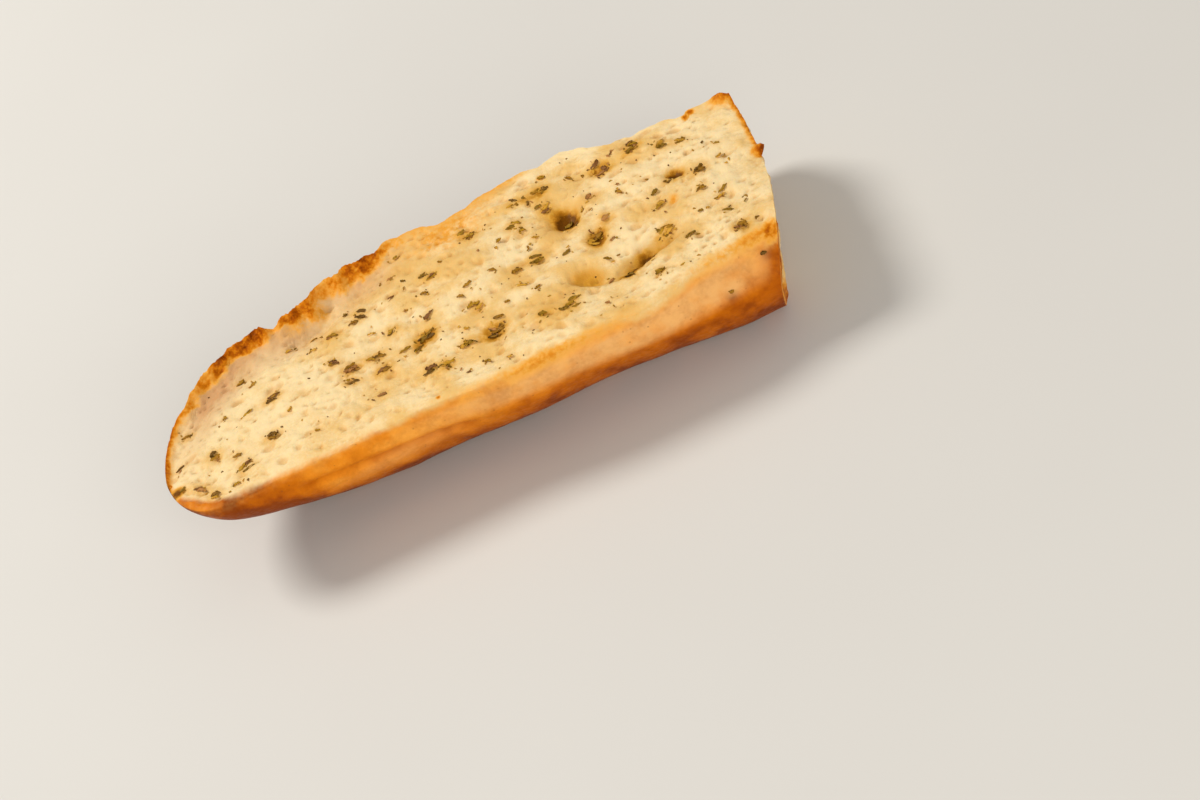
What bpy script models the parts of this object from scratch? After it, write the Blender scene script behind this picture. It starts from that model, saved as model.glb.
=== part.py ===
# Half a garlic bread roll, split level and then cut across, lying on its crust with the
# buttered cut face up. The crumb, the crust, the pores and the dried herb flakes are one solid.
# +X runs from the rounded nose to the cut end, -Y is the side whose crust shows, +Z is up.
# The origin is on the surface that the bread lies on, under the middle of its box.

import bmesh
import bpy
import numpy as np
from mathutils import Matrix, Vector
from mathutils.bvhtree import BVHTree

# Every length below is in millimetres, and the finished mesh is turned into metres.
MM = 0.001

# Driving dimensions
FACE_HEIGHT = 33.0  # the level of the cut face above the table
NOSE_X, CUT_X = -97.0, 94.5  # the ends of the face, at the nose and at the far cut corner
TIP_Y = -15.0  # the nose is nearer to the near side than to the far one
NEAR_Y, FAR_Y = -34.4, 41.0  # the long sides
NEAR_NOSE, FAR_NOSE = 16.0, 70.0  # how far back from the tip each long side starts
CUT_BOW, CUT_LEAN = 9.5, 7.5  # the cut end falls back at its near corner and at its foot
CUT_REACH = 42.0  # the length over which the loaf follows the slant of the cut
RIM_HEIGHT, RIM_LOW = 3.0, 0.5  # the crisp crust lip along the far edge: by the nose, and elsewhere
RIM_WIDTH = 2.4
BAND_DEPTH, BAND_PLACE, BAND_WIDTH = 1.5, 9.0, 7.0  # the crumb is sunken just inside that lip
SHOULDER_DROP, SHOULDER_WIDTH = 1.2, 1.8  # the near edge of the face is rounded
TIP_DROP, TIP_WIDTH = 0.8, 5.0  # and so is the tip

# The belly: its reach back from the tip, its curve along, and its section's power at either end
BELLY_NOSE, BELLY_CURVE = 66.0, 1.6
ROUND_POWER, BOXY_POWER = 2.15, 3.2
BOXY_FROM, BOXY_TO = 20.0, 85.0
BELLY_SWELL = 1.4  # the crust stands out this far below the edge of the face
EDGE_REACH = 0.45  # share of the depth over which the crust leans in to the edge of the face
BASE_CUT = 1.8  # the belly is flattened by this much where it was baked on its tray
BASE_SOFTNESS = 0.7

# How each side departs from a straight line: ramps go from x to x and change it by so much,
# and swells stand at x, with a half-width and a height.
NEAR_WALL = {"ramps": ((-28, 8, -4.4),), "swells": ()}
FAR_WALL = {"ramps": ((-40, -10, 2.5),), "swells": ((34, 34, 3.0),)}
NEAR_EDGE = {"ramps": ((42, 66, 5.2), (64, 92, 1.6)), "swells": ()}
FAR_EDGE = {
    "ramps": ((-36, -14, 1.5), (44, 58, -4.0), (58, 90, -1.6)),
    "swells": ((-50, 13, -6.0), (-12, 7, 2.8), (2, 6, -1.0), (36, 20, 4.3)),
}
FAR_WALL_LESS, FAR_EDGE_LESS = 2.5, 1.5  # both start this much nearer beside the nose
# The crisp far edge is torn: x, and how far out it stands there
FAR_TORN = (
    (-97, 0.0), (-91, 1.0), (-88.8, 0.6), (-87.2, -2.0), (-85.5, -3.4), (-83.2, -1.2), (-81.2, -2.6),
    (-79.5, -1.0), (-78, -0.8), (-75.2, -2.2), (-73.2, -1.7), (-71.2, -2.9), (-69.8, -1.5), (-67.8, -0.7),
    (-66.2, -1.6), (-64.5, -0.8), (-62.8, -1.2), (-60.2, 0.6), (-58.8, -0.2), (-57.2, -2.0), (-54.5, -1.5),
    (-53, -2.4), (-50, -1.2), (-47, -2.3), (-45.5, -0.9), (-42.2, -3.2), (-40.5, -2.1), (-39, -0.1),
    (-36.5, 0.4), (-34.5, -0.1), (-31.5, -2.6), (-29.2, -0.9), (-24.5, -2.4), (-20.8, -1.6), (-18, -2.3),
    (-14, -0.4), (-10.8, -1.4), (-7.2, 0.4), (-3, 0.9), (1, -1.0), (7.5, -0.6), (10.8, -1.2), (16.5, 0.4),
    (18.8, -0.4), (30.2, -0.7), (35, -2.6), (43, -0.3), (46.2, -1.1), (48.5, -0.5), (51.2, -1.4), (54, -1.2),
    (57, -1.9), (60.5, -0.9), (63.8, -2.2), (66.2, -1.1), (74.5, -0.9), (77.5, -2.9), (80, -2.7),
    (81.2, -0.9), (84.5, -1.2), (90.2, -1.0), (93.5, -3.2),
)  # fmt: skip

# Waves of the face: height, and how far along X and along Y one radian reaches, and phase
WAVES = ((0.5, 11.0, 40.0, 0.8), (0.35, 6.3, -8.1, 1.9), (0.3, -30.0, 12.0, 0.4))
WAVES_FADE = 9.0  # they and the hollows fade out this close to the edge

# The lip beside the nose: where it rises and falls, and its notch and its tooth
LIP_RISE, LIP_FALL = (-94.0, -74.0), (-30.0, -8.0)
LIP_NOTCH, LIP_TOOTH = (-54.4, 2.0, -0.9), (-57.6, 1.3, 0.45)

# Hollows in the cut face: x, y, half-length, half-width, depth, turned by so many degrees, and
# how much shorter the half-width is on the near side, where the wall is steep
HOLLOWS = (
    (32.8, -15.8, 5.4, 6.0, 2.8, -38, 0.35),
    (51.5, -17.3, 11.5, 6.5, 3.4, 14, 0.35),
    (35.2, 14.5, 4.6, 6.5, 3.8, -25, 0.55),
    (41, 0, 6, 3, 1.6, 75, 1.0),
    (69.2, 10.8, 3.6, 3.2, 2.6, -35, 0.6),
    (50, 29, 8, 3.6, 1.2, -20, 1.0),
    (3, -18, 4.5, 4, 1.2, 0, 1.0),
    (-15, -7, 5, 3.6, 1.0, 30, 1.0),
    (-66, 16, 8, 4, 0.9, 30, 1.0),
    (-44, 22, 11, 4, 1.2, 10, 1.0),
)
HOLLOW_EDGE = 2.4  # how sharply a hollow's wall drops

# The torn crumb of the cut end: reach along Y, turns from top to bottom, height
TEAR_REACH, TEAR_TURNS, TEAR_HEIGHT = 4.3, 5.0, 0.7

# The grid of the surface
STATIONS, NOSE_STATIONS, NOSE_REACH = 61, 25, 42.0
COLUMNS, CUT_ROWS = 27, 8
EDGE_CROWDING = 0.76  # 1 crowds the columns of the face strongly to its edges

# Places where the herbs lie in a clump: x, y, spread and number of flakes
CLUMPS = (
    (-92.8, -20.2, 0.3, 1), (-92.6, -9.5, 0.4, 1), (-89, -23, 1.3, 2), (-84, -28.4, 1.2, 2),
    (-87.5, 2.5, 1, 2), (-82.5, -13, 1, 2), (-76, -17, 0.6, 1), (-73.5, -24, 1.7, 3),
    (-64.5, -17.5, 0.9, 2), (-60.5, -1, 1.8, 3), (-68, -3, 1, 1), (-69, 14.5, 0.7, 1),
    (-65, 9.5, 0.8, 1), (-45, 19.5, 1.2, 1), (-41, 0.5, 1.3, 2), (-40, 14, 1, 2),
    (-38.5, -11, 0.8, 2), (-36.5, -5, 1.6, 3), (-32.5, -22, 0.7, 1), (-31, 16.5, 2.2, 3),
    (-29.5, -5, 1.8, 3), (-29.5, -12.5, 1.6, 3), (-22, 3.5, 1.2, 2), (-19.5, -8, 2.2, 2),
    (-19, 17, 0.8, 1), (-17, -22, 1.1, 2), (-14, -7, 1.8, 4), (-12.5, -22, 1.6, 3),
    (-10.5, 1, 0.8, 1), (-7, 19, 2, 3), (-5, -19.5, 1.6, 2), (0.5, 3, 2, 2), (2.5, -5, 2.4, 3),
    (3.5, -18.5, 2.4, 6), (6.5, -13, 1, 1), (8.5, 28.5, 2, 3), (10.5, 5.5, 1, 1),
    (16, 2, 0.8, 1), (16.5, -5, 0.8, 1), (18.5, -22, 1.2, 2), (21, 20, 2.4, 3),
    (20.5, -9.5, 0.7, 1), (22, 3.5, 1.7, 3), (25.5, -24, 2.4, 4), (24.5, 31, 2.4, 2),
    (31.5, 0, 0.5, 1), (31.5, 24, 1.8, 3), (33, 31.5, 2, 3), (35, 14, 2.4, 4),
    (34.6, 38, 0.5, 1), (38, -19.5, 0.8, 1), (41.2, 1, 2, 5), (42, 32.5, 0.6, 1),
    (44, 19.5, 1, 1), (45, -21.5, 2, 3), (47, 6.3, 1.5, 2), (50.5, 29.5, 2.8, 4),
    (51.5, -19, 1.4, 3), (52, -28.5, 0.9, 2), (59, -11.5, 2, 4), (60, 30.5, 3, 4),
    (60, 0.5, 2, 2), (61, 6.5, 0.6, 1), (63.5, -20, 1, 1), (68.5, 8.5, 1.1, 2),
    (69, 24.5, 0.9, 2), (72.5, -4, 1.2, 2), (76, 24, 1, 2), (76, 6.3, 1.3, 2), (77, -9, 1.5, 2),
    (76, -17, 0.8, 1), (77.5, -26.5, 1.2, 3), (83.5, 13.5, 0.8, 1),
)  # fmt: skip
LOOSE_FLAKES, LOOSE_GAP = 24, 5.5  # the others lie singly, this far from their neighbours
LOOSE_X, LOOSE_Y = (-92.0, 90.0), (-34.0, 42.0)
FLAKE_CLEAR = 3.2  # no flake lies closer to the edge of the face
CRUST_FLAKES = ((79.2, -34.5), (66.7, -38.0))  # two have fallen on the near crust
CLUMPED_LONG, CLUMPED_WIDE = (2.8, 5.0), (1.1, 1.9)
LOOSE_LONG, LOOSE_WIDE = (1.8, 3.2), (0.9, 1.3)
FLAKE_SWING = 0.75  # they lie along the loaf, turned by up to this many radians
FLAKE_SUNK, FLAKE_PROUD, FLAKE_TAPER, FLAKE_SIDES = 0.9, 0.5, 0.9, 5
SEED = 17


def step(value, low, high):
    """0 below low and 1 above high, with a smooth rise between them."""
    t = np.clip((value - low) / (high - low), 0, 1)
    return t * t * (3 - 2 * t)


def bump(value, centre, width):
    """1 at the centre, falling to nothing on both sides as a bell."""
    return np.exp(-(((value - centre) / width) ** 2))


def quarter(distance, reach, power=2.0):
    """A superellipse's quarter: 0 at distance 0, and 1 from distance reach on."""
    t = np.clip(distance / reach, 0, 1)
    return (1 - (1 - t) ** power) ** (1 / power)


def departure(x, side):
    """The sum of a side's ramps and swells at x."""
    ramps = sum(change * step(x, low, high) for low, high, change in side["ramps"])
    return ramps + sum(height * bump(x, at, width) for at, width, height in side["swells"])


def from_tip(x, y, reach):
    """Brings a side's y in to the tip of the nose, round an ellipse of that reach."""
    return TIP_Y + (y - TIP_Y) * quarter(x - NOSE_X, reach)


def near_wall(x):
    """The near side of the belly in plan, which swells past the middle."""
    return from_tip(x, NEAR_Y + departure(x, NEAR_WALL), NEAR_NOSE)


def far_wall(x):
    """The far side of the belly in plan."""
    return from_tip(x, FAR_Y - FAR_WALL_LESS + departure(x, FAR_WALL), FAR_NOSE)


def near_edge(x):
    """The near edge of the face in plan: it draws in over the belly towards the cut."""
    return near_wall(x) + departure(x, NEAR_EDGE)


def far_edge(x):
    """The far edge of the face in plan: torn, dented beside the nose, drawn in at the cut."""
    torn = np.interp(x, *zip(*FAR_TORN))
    return from_tip(x, FAR_Y - FAR_EDGE_LESS + departure(x, FAR_EDGE) + torn, FAR_NOSE)


def lip_height(x):
    """The height of the crisp lip along the far edge: high beside the nose, low past the middle."""
    high = step(x, *LIP_RISE) * (1 - step(x, *LIP_FALL))
    teeth = sum(share * bump(x, at, width) for at, width, share in (LIP_NOTCH, LIP_TOOTH))
    return RIM_LOW + (RIM_HEIGHT - RIM_LOW) * high * (1 + teeth)


def hollow_depth(x, y):
    """The depth of the pores and of the long tear at a place on the face."""
    depth = 0.0
    for at_x, at_y, long, wide, deep, degrees, near in HOLLOWS:
        cos, sin = np.cos(np.radians(degrees)), np.sin(np.radians(degrees))
        along = ((x - at_x) * cos + (y - at_y) * sin) / long
        across = ((y - at_y) * cos - (x - at_x) * sin) / wide
        across = np.where(across < 0, across / near, across)
        depth = depth + deep * np.exp(-(np.hypot(along, across) ** HOLLOW_EDGE))
    return depth


def face_height(x, y):
    """The height of the cut face: nearly level, with waves, hollows, a lip and rounded edges."""
    from_near, from_far = np.maximum(y - near_edge(x), 0), np.maximum(far_edge(x) - y, 0)
    inside = step(np.minimum(from_near, from_far), 0, WAVES_FADE)
    waves = sum(high * np.sin(x / along + y / across + at) for high, along, across, at in WAVES)
    lip = lip_height(x) * np.exp(-((from_far / RIM_WIDTH) ** 1.4))
    beside_nose = 1 - step(x, *LIP_FALL)
    band = BAND_DEPTH * beside_nose * bump(from_far, BAND_PLACE, BAND_WIDTH)
    band = band * step(from_near, 0, BAND_PLACE + BAND_WIDTH)
    shoulder = SHOULDER_DROP * np.exp(-from_near / SHOULDER_WIDTH)
    tip = TIP_DROP * np.exp(-np.maximum(x - NOSE_X, 0) / TIP_WIDTH)
    relief = inside * (waves - hollow_depth(x, y))
    return FACE_HEIGHT + relief + lip - band - np.maximum(shoulder, tip)


def settle(z):
    """Lays what would hang below the table flat on it, with a soft bend where it leaves."""
    bend = (z + BASE_SOFTNESS) ** 2 / (4 * BASE_SOFTNESS)
    return np.where(z > BASE_SOFTNESS, z, np.where(z > -BASE_SOFTNESS, bend, 0))


def belly(x, share):
    """A place on the crust as (y, z), with share going from 0 at the near edge to 1 at the far."""
    near, far = near_wall(x), far_wall(x)
    power = 2 / (ROUND_POWER + (BOXY_POWER - ROUND_POWER) * step(x, BOXY_FROM, BOXY_TO))
    side = -np.sign(np.cos(np.pi * share)) * np.abs(np.cos(np.pi * share)) ** power
    down = np.abs(np.sin(np.pi * share)) ** power
    edge = np.where(share < 0.5, near_edge(x), far_edge(x))
    out = edge - np.where(share < 0.5, near, far)
    up = face_height(x, edge) - FACE_HEIGHT
    lean = 1 - step(down, 0, EDGE_REACH)
    swell = BELLY_SWELL * np.sin(np.pi * down) * quarter(x - NOSE_X, FAR_NOSE)
    depth = (FACE_HEIGHT + BASE_CUT) * quarter(x - NOSE_X, BELLY_NOSE, BELLY_CURVE)
    y = (near + far) / 2 + side * ((far - near) / 2 + swell) + out * lean
    return y, settle(FACE_HEIGHT + up * lean - down * depth)


def follow_cut(x, y, z):
    """Slides a point along X so that the end of the loaf takes the bow and the lean of the cut."""
    bow = CUT_BOW * np.clip((FAR_Y - y) / (FAR_Y - NEAR_Y), 0, None) ** 2.8
    lean = CUT_LEAN * np.clip(1 - z / FACE_HEIGHT, 0, 1)
    return x - step(x, CUT_X - CUT_REACH, CUT_X) * (bow + lean)


def station_places():
    """X of each ring after the tip: crowded round the nose, and even from there to the cut."""
    angle = np.linspace(0, np.pi / 2, NOSE_STATIONS)[1:]
    nose = NOSE_X + NOSE_REACH * (1 - np.cos(angle))
    even = np.linspace(nose[-1], CUT_X, STATIONS - NOSE_STATIONS + 1)[1:]
    return np.concatenate([nose, even])


def column_shares():
    """Where the columns of the face lie between its near edge and its far one."""
    lean = (1 - EDGE_CROWDING) / 2
    cosine = np.cos(np.pi * (lean + EDGE_CROWDING * np.linspace(0, 1, COLUMNS)))
    return (cosine[0] - cosine) / (cosine[0] - cosine[-1])


def face_row(mesh, x):
    """One row of corners over the face, from its near edge to its far one."""
    ys = near_edge(x) + (far_edge(x) - near_edge(x)) * column_shares()
    heights = face_height(x, ys)
    return [mesh.verts.new((follow_cut(x, y, z), y, z)) for y, z in zip(ys, heights)]


def belly_row(mesh, x, edges):
    """One row of corners round the belly, between the two edges of the face."""
    ys, heights = belly(x, np.linspace(0, 1, COLUMNS)[1:-1])
    under = [mesh.verts.new((follow_cut(x, y, z), y, z)) for y, z in zip(ys, heights)]
    return [edges[0], *under, edges[-1]]


def skin(mesh, here, there):
    """Faces between two rows of corners, which may share their ends."""
    for i in range(COLUMNS - 1):
        corners = dict.fromkeys((here[i], there[i], there[i + 1], here[i + 1]))
        mesh.faces.new(corners)


def cut_end(mesh, top, bottom):
    """The end that was cut across: rows between the face and the belly, slightly torn."""
    rows = [top]
    for share in np.linspace(0, 1, CUT_ROWS + 1)[1:-1]:
        row = [high.co.lerp(low.co, share) for high, low in zip(top, bottom)]
        for place in row:
            tear = np.sin(place.y / TEAR_REACH + TEAR_TURNS * share) * np.sin(np.pi * share)
            place.x += TEAR_HEIGHT * tear
        rows.append([top[0], *(mesh.verts.new(place) for place in row[1:-1]), top[-1]])
    rows.append(bottom)
    for here, there in zip(rows, rows[1:]):
        skin(mesh, here, there)


def loaf():
    """The bread without its herbs: the face above, the belly below, and the cut end across."""
    mesh = bmesh.new()
    tip = mesh.verts.new((NOSE_X, TIP_Y, face_height(NOSE_X, TIP_Y)))
    tops = [[tip] * COLUMNS]
    bottoms = [[tip] * COLUMNS]
    for x in station_places():
        tops.append(face_row(mesh, x))
        bottoms.append(belly_row(mesh, x, tops[-1]))
    for i in range(COLUMNS - 1):
        mesh.faces.new((tip, tops[1][i], tops[1][i + 1]))
        mesh.faces.new((tip, bottoms[1][i + 1], bottoms[1][i]))
    for here, there in zip(tops[1:], tops[2:]):
        skin(mesh, here, there)
    for here, there in zip(bottoms[1:], bottoms[2:]):
        skin(mesh, there, here)
    cut_end(mesh, tops[-1], bottoms[-1])
    bmesh.ops.triangulate(mesh, faces=mesh.faces)
    return mesh


def on_face(x, y):
    """Whether a flake at that place lies well inside the edge of the face."""
    end = follow_cut(CUT_X, y, FACE_HEIGHT)
    across = near_edge(x) + FLAKE_CLEAR < y < far_edge(x) - FLAKE_CLEAR
    return across and NOSE_X + FLAKE_CLEAR < x < end - FLAKE_CLEAR


def direction(draw):
    """A flake's direction from +Y: a quarter turn, give or take."""
    return np.pi / 2 + FLAKE_SWING * draw.uniform(-1, 1)


def flake_places():
    """Where each herb flake lies, as x, y, direction, length and width."""
    draw = np.random.RandomState(SEED)
    flakes = []
    for at_x, at_y, spread, number in CLUMPS:
        for _ in range(number):
            x, y = at_x + spread * draw.uniform(-1, 1), at_y + spread * draw.uniform(-1, 1)
            size = draw.uniform(*CLUMPED_LONG), draw.uniform(*CLUMPED_WIDE)
            flakes.append((x, y, direction(draw), *size))
    flakes = [flake for flake in flakes if on_face(*flake[:2])]
    total = len(flakes) + LOOSE_FLAKES
    while len(flakes) < total:
        x, y = draw.uniform(*LOOSE_X), draw.uniform(*LOOSE_Y)
        size = draw.uniform(*LOOSE_LONG), draw.uniform(*LOOSE_WIDE)
        apart = min(np.hypot(x - flake[0], y - flake[1]) for flake in flakes)
        if apart > LOOSE_GAP and on_face(x, y):
            flakes.append((x, y, direction(draw), *size))
    for x, y in CRUST_FLAKES:
        size = draw.uniform(*LOOSE_LONG), draw.uniform(*LOOSE_WIDE)
        flakes.append((x, y, direction(draw), *size))
    return flakes


def flake(number, surface, place, material):
    """One flake: a thin five-sided chip, longer than wide, sunk into the crumb by its lower part."""
    x, y, turn, long, wide = place
    where, normal, _, _ = surface.ray_cast(Vector((x, y, 2 * FACE_HEIGHT)), Vector((0, 0, -1)))
    stand = normal.to_track_quat("Z", "Y").to_matrix().to_4x4()
    size = Matrix.Diagonal((wide, long, FLAKE_SUNK + FLAKE_PROUD, 1))
    lift = Matrix.Translation((0, 0, (FLAKE_PROUD - FLAKE_SUNK) / 2))
    pose = Matrix.Translation(where) @ stand @ Matrix.Rotation(turn, 4, "Z") @ lift @ size
    mesh = bmesh.new()
    bmesh.ops.create_cone(
        mesh, cap_ends=True, segments=FLAKE_SIDES, depth=1,
        radius1=FLAKE_TAPER / 2, radius2=0.5, matrix=pose,
    )  # fmt: skip
    return to_object(f"flake_{number}", mesh, material)


def to_object(name, mesh, material):
    """An object with one material, made from a mesh that is still being edited."""
    data = bpy.data.meshes.new(name)
    mesh.to_mesh(data)
    mesh.free()
    data.materials.append(material)
    return bpy.data.objects.new(name, data)


def make_material(name, colour, roughness):
    material = bpy.data.materials.new(name)
    material.use_nodes = True
    shader = material.node_tree.nodes["Principled BSDF"]
    shader.inputs["Base Color"].default_value = (*colour, 1)
    shader.inputs["Roughness"].default_value = roughness
    shader.inputs["Metallic"].default_value = 0
    return material


def fuse(body, others):
    """Joins a collection of small objects to the body with one Boolean union, then removes them."""
    union = body.modifiers.new("herbs", "BOOLEAN")
    union.operation = "UNION"
    union.operand_type = "COLLECTION"
    union.collection = others
    union.solver = "MANIFOLD"
    bpy.context.view_layer.objects.active = body
    bpy.ops.object.modifier_apply(modifier=union.name)
    for item in list(others.objects):
        bpy.data.objects.remove(item)
    bpy.data.collections.remove(others)


def drop_scraps(body):
    """Keeps the largest connected piece of the mesh and removes slivers cut loose by the union."""
    mesh = bmesh.new()
    mesh.from_mesh(body.data)
    left, largest = set(mesh.verts), set()
    while left:
        piece, edge = set(), {left.pop()}
        while edge:
            piece |= edge
            edge = {link.other_vert(vert) for vert in edge for link in vert.link_edges} - piece
        left -= piece
        largest = max(largest, piece, key=len)
    scraps = [vert for vert in mesh.verts if vert not in largest]
    bmesh.ops.delete(mesh, geom=scraps, context="VERTS")
    mesh.to_mesh(body.data)
    mesh.free()


def finish(body):
    """Sets the origin under the middle of the box, turns millimetres into metres and shades."""
    corners = np.array([vert.co for vert in body.data.vertices])
    low, high = corners.min(0), corners.max(0)
    under = Vector(((low[0] + high[0]) / 2, (low[1] + high[1]) / 2, low[2]))
    body.data.transform(Matrix.Scale(MM, 4) @ Matrix.Translation(-under))
    body.data.shade_smooth()
    body.data.set_sharp_from_angle(angle=np.radians(40))


def build():
    for item in list(bpy.data.objects):
        bpy.data.objects.remove(item)
    bread = make_material("bread", (0.80, 0.55, 0.27), 0.6)
    herb = make_material("herb", (0.12, 0.13, 0.03), 0.7)

    mesh = loaf()
    surface = BVHTree.FromBMesh(mesh)
    body = to_object("garlic_bread", mesh, bread)
    bpy.context.scene.collection.objects.link(body)

    herbs = bpy.data.collections.new("herbs")
    bpy.context.scene.collection.children.link(herbs)
    for number, place in enumerate(flake_places()):
        herbs.objects.link(flake(number, surface, place, herb))
    fuse(body, herbs)
    drop_scraps(body)
    finish(body)


build()
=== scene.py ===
import math

import bpy
import numpy as np
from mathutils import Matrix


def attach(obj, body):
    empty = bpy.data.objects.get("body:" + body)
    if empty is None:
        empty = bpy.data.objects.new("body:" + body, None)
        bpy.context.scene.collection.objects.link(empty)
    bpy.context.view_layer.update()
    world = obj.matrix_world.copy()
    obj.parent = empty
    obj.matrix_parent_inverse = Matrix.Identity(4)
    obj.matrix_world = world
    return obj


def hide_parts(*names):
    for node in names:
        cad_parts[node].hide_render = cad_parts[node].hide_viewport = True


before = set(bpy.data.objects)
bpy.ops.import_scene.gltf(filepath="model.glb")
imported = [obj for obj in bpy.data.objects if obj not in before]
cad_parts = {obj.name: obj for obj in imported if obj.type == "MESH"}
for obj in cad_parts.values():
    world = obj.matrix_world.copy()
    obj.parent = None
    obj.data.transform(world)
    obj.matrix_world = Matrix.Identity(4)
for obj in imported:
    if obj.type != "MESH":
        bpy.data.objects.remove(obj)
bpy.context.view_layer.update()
mm = 0.001  # sizes are in millimetres, and the finished points are turned into metres

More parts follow.
